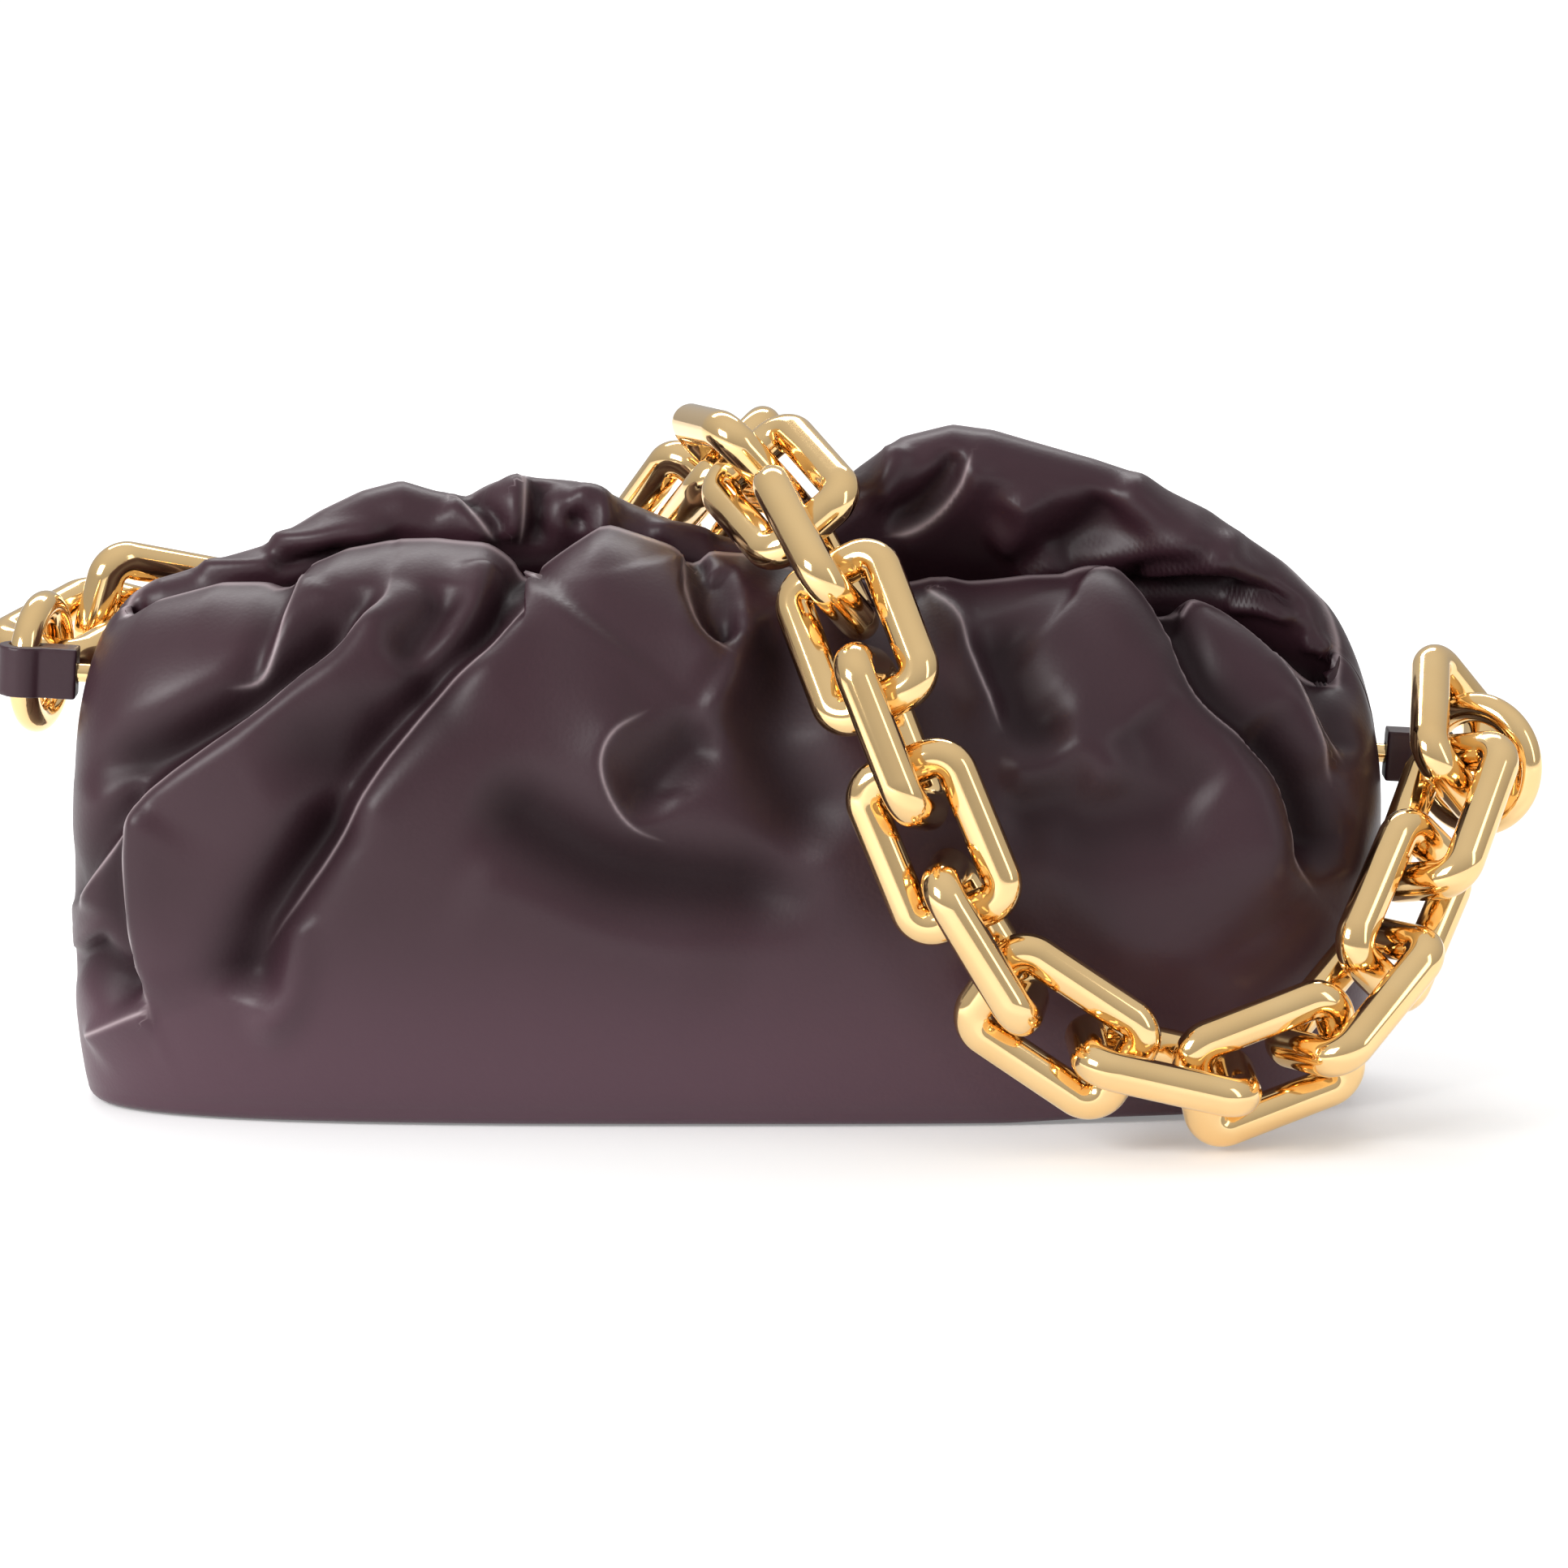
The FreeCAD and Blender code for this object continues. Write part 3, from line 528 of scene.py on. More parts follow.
# %% Folds of the front
FRONT_FOLDS = [
    # the long fold that runs from the left of the middle gather down to the lower left, and its pocket
    fold([(668, 724), (611, 799), (556, 845), (501, 909), (464, 959), (409, 1051), (377, 1096), (345, 1140),
          (318, 1180)], 8.5, 120, 14, 5.0, 28, -1, (0.02, 0.36)),
    hollow([(590, 815), (520, 868), (455, 912), (385, 935), (315, 965)], 5.0, 52, (0.25, 0.3)),
    hollow([(440, 975), (378, 1058), (332, 1130), (308, 1190), (300, 1238)], 7.5, 40, (0.2, 0.14)),
    ridge([(362, 1120), (362, 1190), (345, 1246), (300, 1280)], 3.0, 26),
    # the second long fold, which turns down at the left end
    fold([(482, 712), (473, 744), (441, 776), (409, 808), (372, 835), (335, 868), (290, 900), (253, 927),
          (212, 959), (182, 990), (170, 1042), (168, 1095), (171, 1148), (182, 1212), (190, 1252)],
         6.5, 66, 13, 4.5, 22, -1, (0.10, 0.10)),
    hollow([(440, 745), (390, 788), (335, 832), (280, 868), (215, 905), (150, 940), (112, 985)],
           6.5, 30, (0.15, 0.2)),
    # gathers under the left lip
    fold([(378, 714), (356, 757), (335, 799), (312, 830), (275, 842)],
         3.5, 40, 10, 2.5, 16, -1, (0.02, 0.3)),
    hollow([(556, 720), (540, 755), (512, 790), (480, 822)], 4.5, 24, (0.2, 0.3)),
    ridge([(596, 694), (590, 745), (556, 800), (505, 846), (455, 872)], 4.0, 26, (0.05, 0.25)),
    hollow([(640, 735), (600, 785), (545, 832), (490, 880)], 3.0, 20, (0.15, 0.3)),
    # the pinch right of the middle gather and the ridge that leaves it
    fold([(840, 694), (854, 757), (872, 785), (902, 805)], 4.0, 60, 9, 4.0, 18, 1, (0.02, 0.2)),
    ridge([(928, 735), (918, 795), (902, 835), (864, 905)], 3.5, 22, (0.15, 0.3)),
    hollow([(880, 700), (893, 745), (898, 790)], 3.5, 18, (0.05, 0.2)),
    hollow([(965, 740), (962, 830), (950, 910), (985, 990), (1030, 1060)], 6.0, 52),
    # the hooked fold below it
    fold([(800, 876), (757, 904), (741, 941), (753, 985), (780, 1020), (822, 1040)],
         3.0, 44, 20, 0.0, 24, 1, (0.25, 0.35)),
    hollow([(885, 895), (830, 935), (800, 972), (812, 1012)], 5.0, 36, (0.25, 0.3)),
    # the wide soft hollow across the lower middle
    hollow([(585, 972), (652, 1010), (712, 1047), (767, 1074), (835, 1085), (927, 1095), (1030, 1110)],
           6.0, 46),
    ridge([(560, 1075), (680, 1120), (800, 1165), (930, 1190)], 2.5, 60),
    # the tucked corner at the lower left
    fold([(186, 984), (152, 1022), (122, 1076), (99, 1122)], 4.5, 34, 12, 4.0, 22, -1, (0.15, 0.15)),
    hollow([(96, 1160), (130, 1200), (172, 1232)], 6.0, 24, (0.1, 0.2)),
    fold([(188, 1240), (150, 1256), (104, 1278)], 3.5, 34, 12, 0.0, 18, -1, (0.1, 0.2)),
    # the crest that falls from the right gather to the lower right
    fold([(1357, 708), (1394, 747), (1429, 799), (1472, 869), (1537, 925), (1572, 968), (1587, 1020),
          (1592, 1060), (1620, 1100)], 7.5, 95, 14, 5.5, 34, 1, (0.02, 0.15)),
    fold([(1459, 740), (1505, 768), (1552, 806), (1590, 850), (1620, 905), (1648, 965)],
         5.0, 44, 11, 4.0, 20, 1, (0.03, 0.2)),
    fold([(1580, 799), (1606, 832), (1630, 880), (1660, 938)], 3.0, 22, 9, 3.0, 14, 1, (0.03, 0.2)),
    hollow([(1545, 880), (1590, 940), (1622, 1010), (1640, 1080)], 6.0, 34),
    # the folds beside the chain
    fold([(1142, 728), (1177, 765), (1194, 804), (1214, 850), (1236, 900)],
         4.0, 40, 16, 0.0, 24, 1, (0.03, 0.25)),
    hollow([(1222, 765), (1242, 830), (1272, 885), (1330, 892)], 5.0, 40),
    ridge([(1228, 950), (1277, 946), (1322, 920), (1356, 940), (1376, 990)], 3.0, 32),
    hollow([(1225, 1010), (1300, 992), (1345, 1012), (1430, 1005), (1500, 1030)], 3.5, 46),
    hollow([(1400, 880), (1450, 945), (1500, 985)], 3.0, 40),
]

# %% Folds of the billows
BILLOW_FOLDS = [
    # left of the chain
    fold([(560, 614), (590, 640), (612, 668)], 3.5, 26, 8, 4.0, 14, 1, (0.05, 0.25)),
    fold([(648, 590), (646, 630), (640, 672)], 4.0, 30, 9, 4.5, 16, 1, (0.05, 0.25)),
    ridge([(327, 674), (380, 668), (440, 655), (490, 660)], 3.5, 14),
    ridge([(240, 700), (300, 700), (360, 694)], 2.5, 10),
    hollow([(330, 690), (390, 690), (440, 680)], 4.0, 11),
    ridge([(700, 612), (740, 618), (745, 650), (720, 668)], 3.5, 14),
    hollow([(700, 640), (725, 640)], 3.0, 12),
    ridge([(800, 650), (850, 655), (890, 662)], 2.5, 12),
    # the tall billow right of the chain
    fold([(1197, 560), (1180, 600), (1140, 640), (1090, 662)], 4.0, 40, 11, 4.0, 18, -1, (0.1, 0.2)),
    ridge([(1110, 548), (1095, 590), (1075, 625)], 3.0, 16),
    ridge([(1262, 600), (1260, 645), (1222, 680)], 4.5, 26),
    hollow([(1300, 690), (1340, 650), (1375, 610)], 4.0, 26),
    fold([(1245, 716), (1310, 690), (1380, 677), (1470, 672), (1540, 678)],
         4.5, 16, 30, 4.0, 15, -1, (0.1, 0.1)),
    ridge([(1395, 715), (1440, 695), (1500, 692), (1570, 720)], 4.0, 13),
    hollow([(1390, 702), (1440, 684), (1500, 682)], 3.5, 9),
    ridge([(1505, 742), (1555, 745), (1600, 762)], 3.5, 11),
    hollow([(1500, 728), (1550, 730), (1610, 750)], 3.5, 9),
    ridge([(1600, 790), (1640, 800), (1665, 830)], 3.0, 11),
    ridge([(1380, 590), (1430, 640), (1500, 665)], 3.0, 24),
]
print("drew", len(FRONT_FOLDS) + len(BILLOW_FOLDS), "folds")

# %% [markdown]
# ## Working on meshes
# Each half of the leather starts as a flat grid, whose points are then moved all at once. These helpers
# read and write the points of a mesh as arrays, keep masks for the finish, and put thickness on a shell.

# %% Grids, points and masks
def new_grid(name, columns, rows):
    """A flat grid, and the shares across and up of its points."""
    bpy.ops.object.select_all(action="DESELECT")
    bpy.ops.mesh.primitive_grid_add(x_subdivisions=columns, y_subdivisions=rows, size=2)
    piece = bpy.context.object
    piece.name = name
    piece.data.name = name
    return piece, read_points(piece)[:, :2] / 2 + 0.5


def read_points(piece):
    points = np.zeros(len(piece.data.vertices) * 3, np.float32)
    piece.data.vertices.foreach_get("co", points)
    return points.reshape(-1, 3).astype(float)


def write_points(piece, points):
    piece.data.vertices.foreach_set("co", points.astype(np.float32).ravel())
    piece.data.update()


def read_normals(piece):
    normals = np.zeros(len(piece.data.vertices) * 3, np.float32)
    piece.data.vertex_normals.foreach_get("vector", normals)
    return normals.reshape(-1, 3).astype(float)


def leather_masks(piece, gap=0.0, crest=0.0, deep=0.0):
    """What the leather finish asks for: distance across a crest in millimetres, painted highlight and shade
    masks.
    """
    for name, values in (("crest_gap", gap), ("crest", crest), ("hollow", deep)):
        mask = piece.data.attributes.new(name, "FLOAT", "POINT")
        mask.data.foreach_set("value", (values + np.zeros(len(mask.data))).astype(np.float32))


# %% Turning, smoothing and thickness
def face_outwards(piece):
    """Turn an open shell so that its faces look away from the middle of the pouch."""
    if np.sum(read_points(piece)[:, 1] * read_normals(piece)[:, 1]) < 0:
        bpy.ops.object.mode_set(mode="EDIT")
        bpy.ops.mesh.select_all(action="SELECT")
        bpy.ops.mesh.flip_normals()
        bpy.ops.object.mode_set(mode="OBJECT")


def relax(piece, rounds):
    """Even out small ribs, as leather does by its own stiffness."""
    soft = piece.modifiers.new("relax", "SMOOTH")
    soft.factor = 0.5
    soft.iterations = rounds
    bpy.ops.object.modifier_apply(modifier=soft.name)


def finish_shell(piece, thickness):
    """Thickness put on for good, and smooth shading."""
    wall = piece.modifiers.new("thickness", "SOLIDIFY")
    wall.thickness = thickness
    wall.offset = -1.0
    bpy.ops.object.modifier_apply(modifier=wall.name)
    bpy.ops.object.shade_smooth()


# %% [markdown]
# ## Lines up the leather
# A half of the leather is a row of lines that run from under the base up the wall, over the lip in a soft
# roll and down inside the mouth. Each line is worked out finely and then given evenly spaced points, so
# that the faces come out alike.

# %% Foot of the leather
FOOT_UNDER = 0.007
FOOT_ROUND = 0.0032
FOOT_LIFT = 0.0002
UNDER_STEPS = 8
ROUND_STEPS = 22
FOOT_STEPS = UNDER_STEPS + ROUND_STEPS


def inward_on_plan(turn, length, depth):
    """Level direction from the edge of a plan into it."""
    c, s, reach = plan_reach(turn)
    way = np.stack([np.sign(c) * np.abs(c * reach) ** (PLAN_POWER - 1) / length,
                    np.sign(s) * np.abs(s * reach) ** (PLAN_POWER - 1) / depth], axis=-1)
    return -way / np.linalg.norm(way, axis=-1, keepdims=True)


def foot(turn, bottom):
    """The lower edge, turned under the base in a small round."""
    inward = inward_on_plan(turn, LENGTHS[0], DEPTHS[0])
    sweep = np.linspace(0, math.pi / 2, ROUND_STEPS)
    under = np.linspace(FOOT_UNDER, FOOT_ROUND, UNDER_STEPS + 1)[:-1]
    reach = np.concatenate([under, FOOT_ROUND * (1 - np.sin(sweep))])
    points = np.empty((len(turn), FOOT_STEPS, 3))
    points[..., :2] = bottom[:, None, :2] + inward[:, None] * reach[None, :, None]
    points[..., 2] = np.concatenate([np.zeros(UNDER_STEPS), FOOT_ROUND * (1 - np.cos(sweep))]) + FOOT_LIFT
    return points


# %% Wall, lip and flap
WALL_STEPS = 420
LEVEL_POWER = 0.6
LIP_STEPS = 60
BROAD_REACH = 14
BROAD_LIFT = (0.5, 1.0)
SHARP_LIFT = (0.86, 1.0)
END_ROOM = 0.15
END_SHARE = 0.12


def broad_part(values):
    """Values along the lip with their sharp dips evened out."""
    weights = np.hanning(2 * BROAD_REACH + 3)[1:-1]
    return np.convolve(np.pad(values, BROAD_REACH, mode="edge"), weights / weights.sum(), mode="valid")


def profile(turn, lip, radius, bend, flap):
    """Fine points from the foot up the wall, over the lip and down inside, and the level of each.

    Towards the end seams the roll and the flap inside get smaller, since there is no room for them."""
    level = np.broadcast_to(np.linspace(0, 1, WALL_STEPS) ** LEVEL_POWER, (len(turn), WALL_STEPS))
    wall = wall_points(np.repeat(turn[:, None], WALL_STEPS, 1), level)
    rise = lip_lift(wall[:, -1], lip)
    broad = broad_part(rise)
    sharp = (rise - broad)[:, None] * ease(level, *SHARP_LIFT)
    wall[..., 2] += broad[:, None] * ease(level, *BROAD_LIFT) + sharp
    rim = wall[:, -1]
    inward = inward_on_plan(turn, LENGTHS[2], DEPTHS[2])[:, None]
    share = np.linspace(0, 1, len(turn))
    room = END_ROOM + (1 - END_ROOM) * ease(np.minimum(share, 1 - share), 0.0, END_SHARE)[:, None]
    sweep = np.linspace(0, bend, LIP_STEPS)[1:]
    roll = np.empty((len(turn), LIP_STEPS - 1, 3))
    roll[..., :2] = rim[:, None, :2] + inward * (radius * room * np.sin(sweep))[..., None]
    roll[..., 2] = rim[:, None, 2] - radius * room * (1 - np.cos(sweep))
    run = np.linspace(0, flap, LIP_STEPS)[1:] * room
    down = np.empty((len(turn), LIP_STEPS - 1, 3))
    down[..., :2] = roll[:, -1:, :2] + inward * (run * math.cos(bend))[..., None]
    down[..., 2] = roll[:, -1:, 2] - run * math.sin(bend)
    toe = np.zeros((len(turn), FOOT_STEPS))
    tail = np.broadcast_to(np.linspace(1, 2, 2 * LIP_STEPS - 2), (len(turn), 2 * LIP_STEPS - 2))
    points = np.concatenate([foot(turn, wall[:, 0]), wall[:, 1:], roll, down], axis=1)
    return points, np.concatenate([toe, level[:, 1:], tail], axis=1)


def resample(points, level, shares):
    """The same lines with evenly spaced points."""
    out = np.empty((len(points), len(shares), 3))
    levels = np.empty((len(points), len(shares)))
    for k in range(len(points)):
        step = np.linalg.norm(np.diff(points[k], axis=0), axis=1)
        run = np.concatenate([[0], np.cumsum(step)])
        for axis in range(3):
            out[k, :, axis] = np.interp(shares * run[-1], run, points[k, :, axis])
        levels[k] = np.interp(shares * run[-1], run, level[k])
    return out, levels


# %% One half before its folds
def leather_half(name, side, lip, radius, bend, flap, columns, rows, part):
    """Half of the pouch before its folds: the piece, and the share across and level of each point."""
    piece, share = new_grid(name, columns, rows)
    across = np.unique(share[:, 0].round(6))
    up = np.unique(share[:, 1].round(6))
    lines, level = profile(even_turns(across, side), lip, radius, bend, flap)
    points, levels = resample(lines, level, part[0] + (part[1] - part[0]) * up)
    column = np.searchsorted(across, share[:, 0].round(6))
    row = np.searchsorted(up, share[:, 1].round(6))
    write_points(piece, points[column, row])
    face_outwards(piece)
    return piece, share[:, 0], levels[column, row]


# %% [markdown]
# ## Laying the folds
# A cloth simulation would crumple the leather in its own way, so the folds are laid one by one: every point
# is pushed out along its normal by all folds at its place in the picture. Folds fade out at the seams,
# and where the chain lies on the leather it presses them flat. The back, which the picture doesn't show,
# takes the front's folds once more.

# %% Where folds fade
SEAM_FADE = 0.045
BASE_FADE = 0.10
CHAIN_NEAR, CHAIN_FREE = 75, 140
CHAIN_DENT = 0.001
BEHIND_DROP = 20


def seam_free(across, level):
    """Folds fade out at the end seams and at the base."""
    return ease(across, 0.0, SEAM_FADE) * ease(1 - across, 0.0, SEAM_FADE) * ease(level, 0.0, BASE_FADE)


def pressed(push, place, chain):
    """Folds don't rise where the chain lies on them: it presses them flat."""
    if chain is None:
        return push
    away, _ = beside_line(place, chain)
    free = ease(np.abs(away), CHAIN_NEAR, CHAIN_FREE)
    return np.where(push > 0, push * free, push) - CHAIN_DENT * (1 - free)


def link_middles(first, last):
    """Middles of a run of links."""
    return np.array([np.mean(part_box("chain_link_%02d" % n), axis=0) for n in range(first, last + 1)])


def behind_place(points):
    """Places like those in the picture, but flat, for what lies behind the bag."""
    return np.stack([PICTURE_MIDDLE + (points[:, 0] - aim[0]) / PIXEL,
                     PICTURE_MIDDLE - (points[:, 2] - aim[2]) / PIXEL + BEHIND_DROP], axis=-1)


# %% Push and masks
LIP_LINE = 0.45
LIP_HIGHLIGHT_SPREAD = 1.2
FAINT_GAP = 3.0


def lip_gap(points, columns):
    """Distance in millimetres below the painted highlight line of the lip, just under its top in the
    picture.
    """
    height = -picture_place(points)[:, 1].reshape(-1, columns)
    below = height.max(axis=0) - height
    inside = np.arange(len(height))[:, None] > height.argmax(axis=0)
    return np.where(inside, -below, below).ravel() * PIXEL / MM - LIP_LINE


def lay_folds(piece, layers, columns):
    """Push the leather out by each layer of folds, and keep where crests and creases are."""
    points, normals = read_points(piece), read_normals(piece)
    push = np.zeros(len(points))
    deep = np.zeros(len(points))
    crests = []
    for place, folds, weight, chain in layers:
        rise, gap, crest, hollows = drape(place, folds)
        push += pressed(rise * weight, place, chain)
        crests.append((gap, crest * weight, weight))
        deep = np.maximum(deep, hollows * weight)
    points += normals * push[:, None]
    write_points(piece, points)
    nearest = lip_gap(points, columns + 1)
    # painted highlight: a pale line just under the top of the lip, and along the crests
    highlight_mask = np.exp(-(nearest / LIP_HIGHLIGHT_SPREAD) ** 2)
    for gap, crest, weight in crests:
        nearest = np.where(np.abs(gap) + FAINT_GAP * (1 - weight) < np.abs(nearest), gap, nearest)
        highlight_mask = np.maximum(highlight_mask, crest)
    leather_masks(piece, nearest, highlight_mask, deep)
    print(piece.name, "folds from %.1f to %.1f mm" % (push.min() / MM, push.max() / MM))


# %% [markdown]
# ## The two halves
# The front lip is a small roll. The back stands higher and falls over into the mouth in two billows, so
# its roll is wider, its flap is longer, and the flap has folds of its own.

# %% Layers of folds
LINKS_IN_FRONT = (11, 18)
LINKS_BEHIND = (1, 9)
FRONT_TUCK = (1.2, 1.5)
BACK_WALL_TOP = (0.90, 1.0)
BACK_ENDS = (0.03, 0.14)
BILLOW_START = (0.97, 1.06)


def front_layers(points, across, level):
    """The folds of the front, up to where it turns down inside."""
    weight = seam_free(across, level) * (1 - ease(level, *FRONT_TUCK))
    place = picture_place(points)
    return [(place, FRONT_FOLDS, weight, picture_place(link_middles(*LINKS_IN_FRONT)))]


def back_layers(points, across, level):
    """The back's own folds, which lie like those in front, and those of its billows over the mouth."""
    free = seam_free(across, level)
    wall = free * (1 - ease(level, *BACK_WALL_TOP)) * ease(np.minimum(across, 1 - across), *BACK_ENDS)
    billow = free * ease(level, *BILLOW_START)
    return [(behind_place(points), FRONT_FOLDS, wall, behind_place(link_middles(*LINKS_BEHIND))),
            (picture_place(points), BILLOW_FOLDS, billow, None)]


# %% Front and back leather
LEATHER_THICK = 0.0018
RELAX_ROUNDS = 2
# side, lip line, radius and bend of the roll, length of the flap inside
HALVES = {"front": (-1, FRONT_LIP, 0.0032, math.radians(112), 0.022),
          "back": (1, BACK_LIP, 0.008, math.radians(116), 0.036)}
LAYERS = {"front": front_layers, "back": back_layers}
LEATHER_GRIDS = {"front": (250, 150), "back": (250, 170)}


def draped_half(name, half, columns, rows, part=(0.0, 1.0)):
    """One half with its folds, still without thickness; part is the share of its height that is made."""
    piece, across, level = leather_half(name, *HALVES[half], columns, rows, part)
    lay_folds(piece, LAYERS[half](read_points(piece), across, level), columns)
    relax(piece, RELAX_ROUNDS)
    return piece


for half, grid in LEATHER_GRIDS.items():
    piece = draped_half(half + "_leather", half, *grid)
    finish_shell(piece, LEATHER_THICK)
    paint(piece, leather)
    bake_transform(piece)
    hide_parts(half + "_panel")

# %% [markdown]
# ## The lining
# Inside, a woven lining follows the leather. It is the same drape drawn in, a single layer of cloth that
# stops below the lips.

# %% Lining
LINING_THICK = 0.0006
LINING_IN = 0.0027
LINING_FLOOR = 0.0052
LINING_PART = (0.07, 0.72)
LINING_GRID = (170, 90)


def lining_half(half):
    """The draped leather again, drawn in by the leather and a little air."""
    piece = draped_half(half + "_lining_cloth", half, *LINING_GRID, LINING_PART)
    points = read_points(piece) - read_normals(piece) * LINING_IN
    points[:, 2] = np.maximum(points[:, 2], LINING_FLOOR)
    write_points(piece, points)
    finish_shell(piece, LINING_THICK)
    paint(piece, lining_cloth)
    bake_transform(piece)
    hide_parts(half + "_lining")
    return piece


for half in HALVES:
    cloth = lining_half(half)

# %% [markdown]
# ## Base, board and the cloth on it
# The bottom is a flat leather piece with a soft turned edge. Over it lie the stiff board, which keeps
# its solid, and a piece of lining.

# %% Plates with the plan of the base
PLATE_EDGE_POINTS = 144
PLATE_EDGE_STEPS = 3
PLATE_SHARP = math.radians(40)


def plan_plate(name, inset, bottom, thickness, bevel):
    """A flat plate with the plan of the base: a disc pulled to shape, pushed up and softened."""
    bpy.ops.object.select_all(action="DESELECT")
    bpy.ops.mesh.primitive_circle_add(vertices=PLATE_EDGE_POINTS, radius=1.0, fill_type="NGON")
    piece = bpy.context.object
    piece.name = name
    piece.data.name = name
    flat = read_points(piece)
    turn = np.arctan2(flat[:, 1], flat[:, 0])
    c, s, reach = plan_reach(turn)
    write_points(piece, np.stack([c * reach * (LENGTHS[0] - inset), s * reach * (DEPTHS[0] - inset),
                                  np.full(len(turn), bottom)], axis=-1))
    bpy.ops.object.mode_set(mode="EDIT")
    bpy.ops.mesh.select_all(action="SELECT")
    bpy.ops.mesh.extrude_region_move(TRANSFORM_OT_translate={"value": (0, 0, thickness)})
    bpy.ops.mesh.select_all(action="SELECT")
    bpy.ops.mesh.normals_make_consistent(inside=False)
    bpy.ops.object.mode_set(mode="OBJECT")
    soft = piece.modifiers.new("soft_edge", "BEVEL")
    soft.width = bevel
    soft.segments = PLATE_EDGE_STEPS
    soft.limit_method = "ANGLE"
    bpy.ops.object.modifier_apply(modifier=soft.name)
    bpy.ops.object.shade_smooth_by_angle(angle=PLATE_SHARP)
    return piece


# %% Base leather and its lining
BASE_AIR = 0.0004
BASE_LIFT = 0.0001
BASE_EDGE = 0.0006
CLOTH_INSET = 0.0042
CLOTH_EDGE = 0.0003

base_low, base_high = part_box("base_panel")
base_thick = base_high.z - base_low.z
base = plan_plate("base_leather", FOOT_UNDER + BASE_AIR, base_low.z + BASE_LIFT, base_thick, BASE_EDGE)
leather_masks(base)
paint(base, leather)
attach(base, "bag")
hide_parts("base_panel")

cloth_low, cloth_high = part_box("base_lining")
cloth_thick = cloth_high.z - cloth_low.z
base_cloth = plan_plate("base_lining_cloth", CLOTH_INSET, cloth_low.z, cloth_thick, CLOTH_EDGE)
paint(base_cloth, lining_cloth)
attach(base_cloth, "bag")
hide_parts("base_lining")
print("base leather %.1f mm and cloth %.1f mm thick" % (base_thick / MM, cloth_thick / MM))

# %% [markdown]
# ## Links and rings
# The links are the heart of the bag: thick round wire bent to a rounded rectangle, each a quarter turn
# from the last. Their solids have the right form, so each is copied, its loose triangles are merged,
# and it is shaded smooth to carry clean reflections.

# %% Polished copies
MERGE_GAP = 0.00001
LINK_SHARP = 60


def smooth_copy(node, name, angle):
    """A copy of a CAD node with its points merged and its normals smooth."""
    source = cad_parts[node]
    bpy.ops.object.select_all(action="DESELECT")
    piece = bpy.data.objects.new(name, source.data.copy())
    bpy.context.scene.collection.objects.link(piece)
    piece.data.name = name
    bpy.context.view_layer.objects.active = piece
    piece.select_set(True)
    bpy.ops.object.mode_set(mode="EDIT")
    bpy.ops.mesh.select_all(action="SELECT")
    bpy.ops.mesh.remove_doubles(threshold=MERGE_GAP)
    bpy.ops.mesh.customdata_custom_splitnormals_clear()
    bpy.ops.object.mode_set(mode="OBJECT")
    bpy.ops.object.shade_smooth_by_angle(angle=math.radians(angle))
    return piece


gold_nodes = sorted(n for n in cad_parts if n.startswith("chain_link") or n.endswith("_ring"))
for node in gold_nodes:
    link = smooth_copy(node, node + "_polished", LINK_SHARP)
    paint(link, gold)
    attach(link, node)
    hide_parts(node)
print("polished", len(gold_nodes), "links and rings;", len(link.data.polygons), "faces on the last")

# %% [markdown]
# ## End tabs
# A short leather strap turns on the pin at each end and loops round the ring. A strap of soft leather has
# no sharp edge, so the copy of its solid is made of small even faces and then smoothed.

# %% Tabs
TAB_SHARP = 35
TAB_FACE = 0.00035
TAB_ROUNDS = 12


def soften(piece, face, rounds):
    """Round all edges of a closed piece."""
    even = piece.modifiers.new("even_faces", "REMESH")
    even.mode = "VOXEL"
    even.voxel_size = face
    bpy.ops.object.modifier_apply(modifier=even.name)
    relax(piece, rounds)
    bpy.ops.object.shade_smooth()


for end in ("left", "right"):
    tab = smooth_copy(end + "_tab", end + "_tab_leather", TAB_SHARP)
    soften(tab, TAB_FACE, TAB_ROUNDS)
    leather_masks(tab)
    paint(tab, leather)
    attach(tab, end + "_tab")
    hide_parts(end + "_tab")
print("softened the tabs;", len(tab.data.polygons), "faces on the last")

# %% [markdown]
# ## Parts that keep their solids
# The board, the frame bows, the hinge pins and plates and the magnets are rigid and mostly hidden, so
# they keep their solids and only get their finishes.

# %% Finishes of the solids
SOLID_FINISHES = {"board": board, "plate": steel, "bow": steel, "magnets": magnet, "pin": gold}
for node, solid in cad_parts.items():
    kind = node.split("_")[-1]
    if kind in SOLID_FINISHES:
        paint(solid, SOLID_FINISHES[kind])
        print("painted", node)

# %% [markdown]
# ## Studio
# A white floor under a pale dome, one broad lamp from the upper left, a weaker one from the right, and a
# long lamp above and behind that draws the bright lines along the lips. The floor glows faintly for the
# camera and for reflections, a little more far away, so that it goes over into white.

# %% Floor
FLOOR_SIZE = 12
FLOOR_DROP = 0.0002
FLOOR_GREY = (0.90, 0.90, 0.90, 1)
FLOOR_WHITE = (0.92, 0.92, 0.92, 1)
FLOOR_GLOW = 0.5
GLOW_REACH = {"From Min": 0.25, "From Max": 1.3, "To Min": 0.45, "To Max": 1.0}
SEEN_BY = ("Is Camera Ray", "Is Glossy Ray", "Is Transmission Ray")

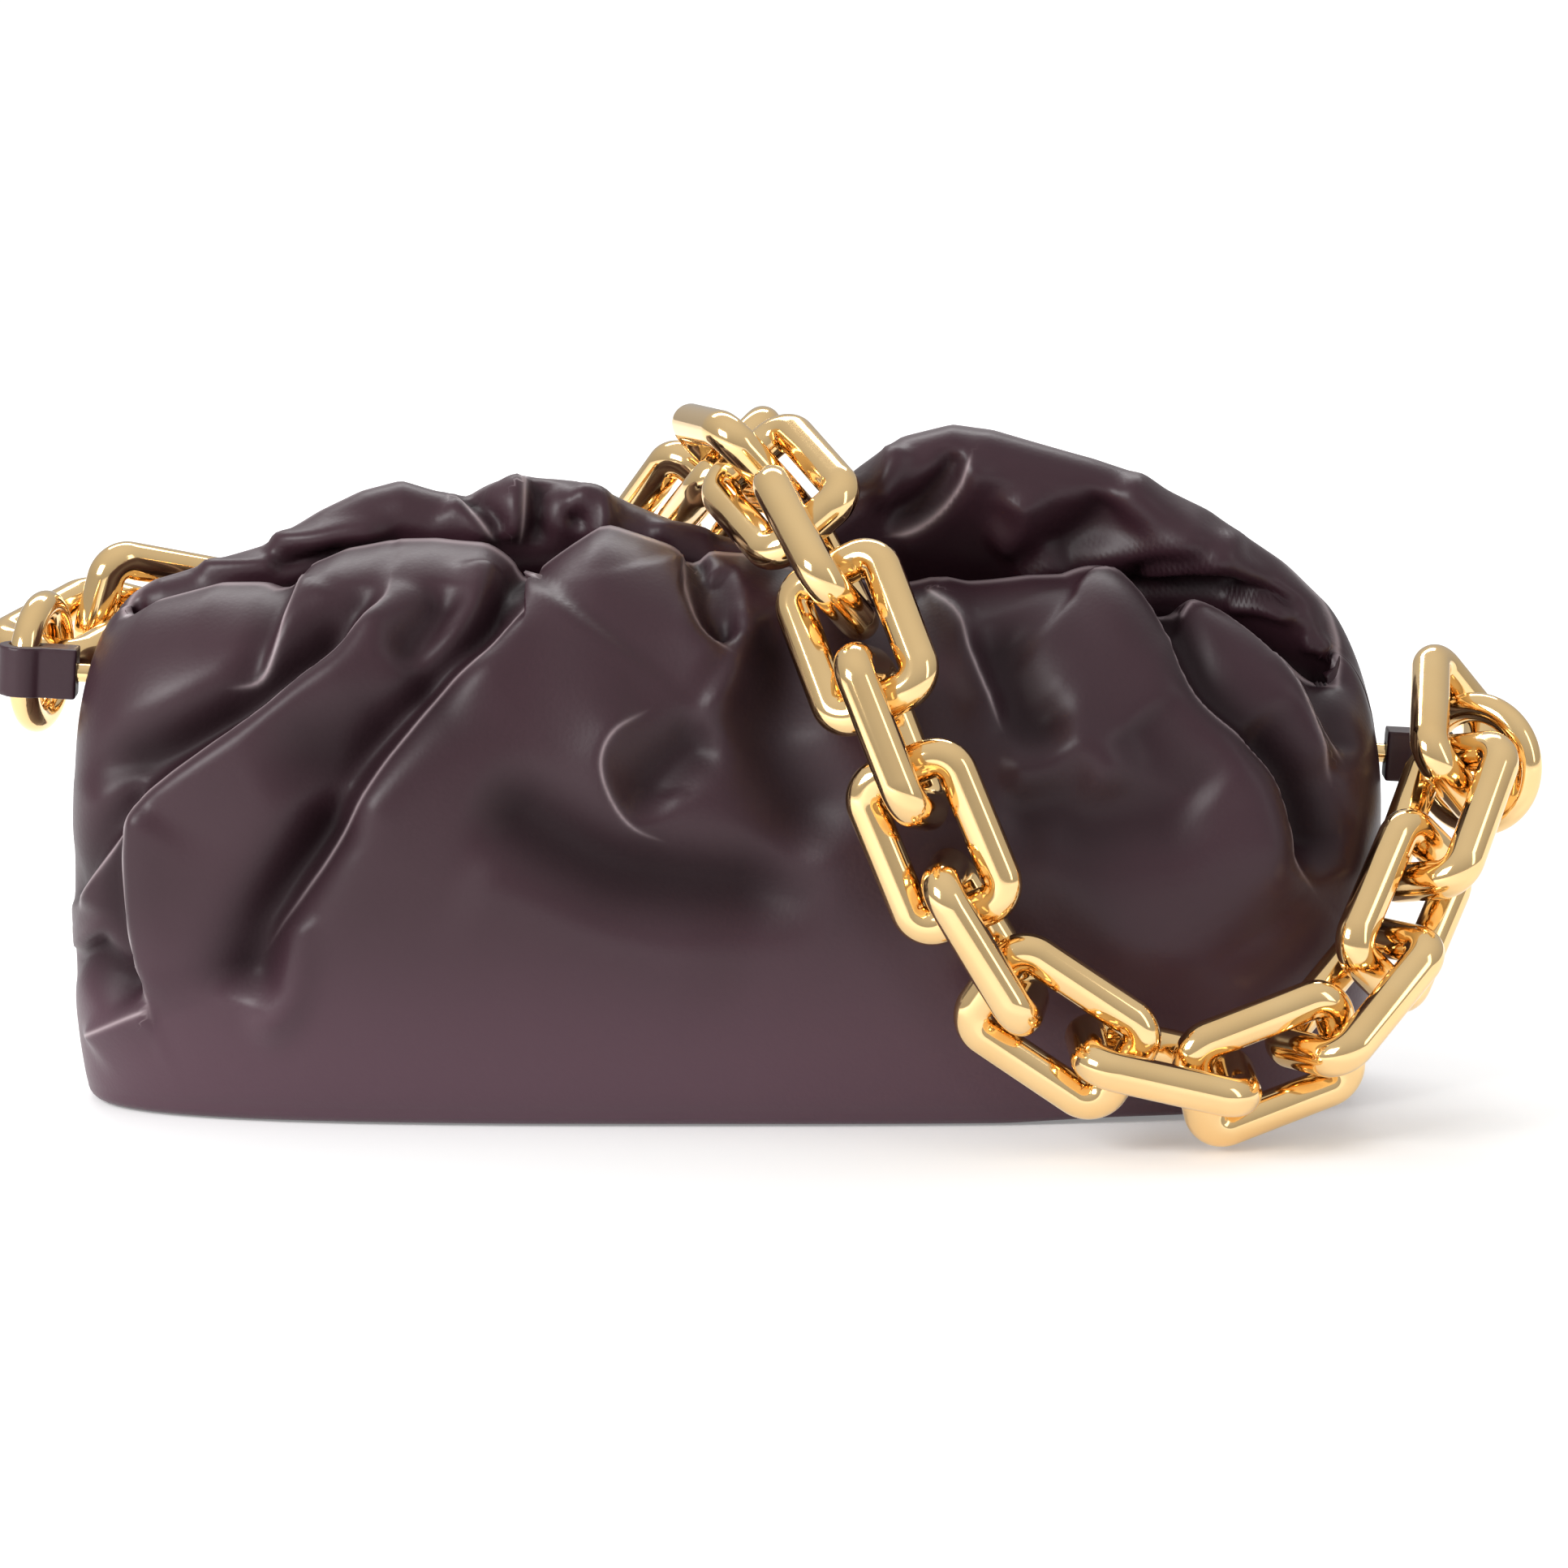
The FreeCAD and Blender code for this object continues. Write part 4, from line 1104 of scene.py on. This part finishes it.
bpy.ops.object.select_all(action="DESELECT")
bpy.ops.mesh.primitive_plane_add(size=FLOOR_SIZE, location=(0, 0, -FLOOR_DROP))
floor = bpy.context.object
floor.name = "studio_floor"
floor_paint = Finish("white_floor", Roughness=0.9)
floor_paint.set("Base Color", floor_paint.mix(floor_paint.noise(3.0), FLOOR_GREY, FLOOR_WHITE))
seen = sum(floor_paint.node("ShaderNodeLightPath", output=ray) for ray in SEEN_BY)
away = floor_paint.node("ShaderNodeVectorMath", {"operation": "LENGTH"}, {0: floor_paint.object_place()},
                        output="Value")
far = floor_paint.node("ShaderNodeMapRange", {"interpolation_type": "SMOOTHSTEP"},
                       {"Value": away, **GLOW_REACH})
floor_paint.set("Emission Color", seen * far)
floor_paint.set("Emission Strength", FLOOR_GLOW)
paint(floor, floor_paint)
print("laid a floor of", FLOOR_SIZE, "m")

# %% Pale dome
DOME_STOPS = ((0.0, 0.55), (1.0, 0.95))
DOME_STRENGTH = 0.8

world = bpy.data.worlds.new("pale_dome")
bpy.context.scene.world = world
world.use_nodes = True
sky = Recipe(world.node_tree)
sky_height = sky.node("ShaderNodeSeparateXYZ", None, {0: sky.node("ShaderNodeTexCoord", output="Generated")},
                      output="Z")
background = sky.tree.nodes["Background"]
sky.feed(background.inputs["Color"], sky.node("ShaderNodeValToRGB", {"stops": DOME_STOPS}, {0: sky_height}))
sky.feed(background.inputs["Strength"], DOME_STRENGTH)

# %% Lamps
# place, power, width and height
LAMPS = {"key_lamp": ((-0.78, -0.66, 0.58), 9.0, 0.5, 0.4),
         "side_lamp": ((1.1, -0.7, 0.6), 1.5, 0.25, 0.9),
         "lip_lamp": ((-0.1, 0.85, 1.1), 8.0, 1.2, 0.25)}


def lamp(name, place, power, width, height):
    """A rectangular lamp that looks at the bag."""
    bpy.ops.object.select_all(action="DESELECT")
    bpy.ops.object.light_add(type="AREA", location=place)
    light = bpy.context.object
    light.name = name
    light.data.shape = "RECTANGLE"
    light.data.size = width
    light.data.size_y = height
    light.data.energy = power
    aim_way = Vector(aim) - Vector(place)
    light.rotation_euler = aim_way.to_track_quat("-Z", "Y").to_euler()


for name, sizes in LAMPS.items():
    lamp(name, *sizes)
bpy.context.scene.view_settings.view_transform = "Standard"
print("lit by", len(LAMPS), "lamps and a dome")
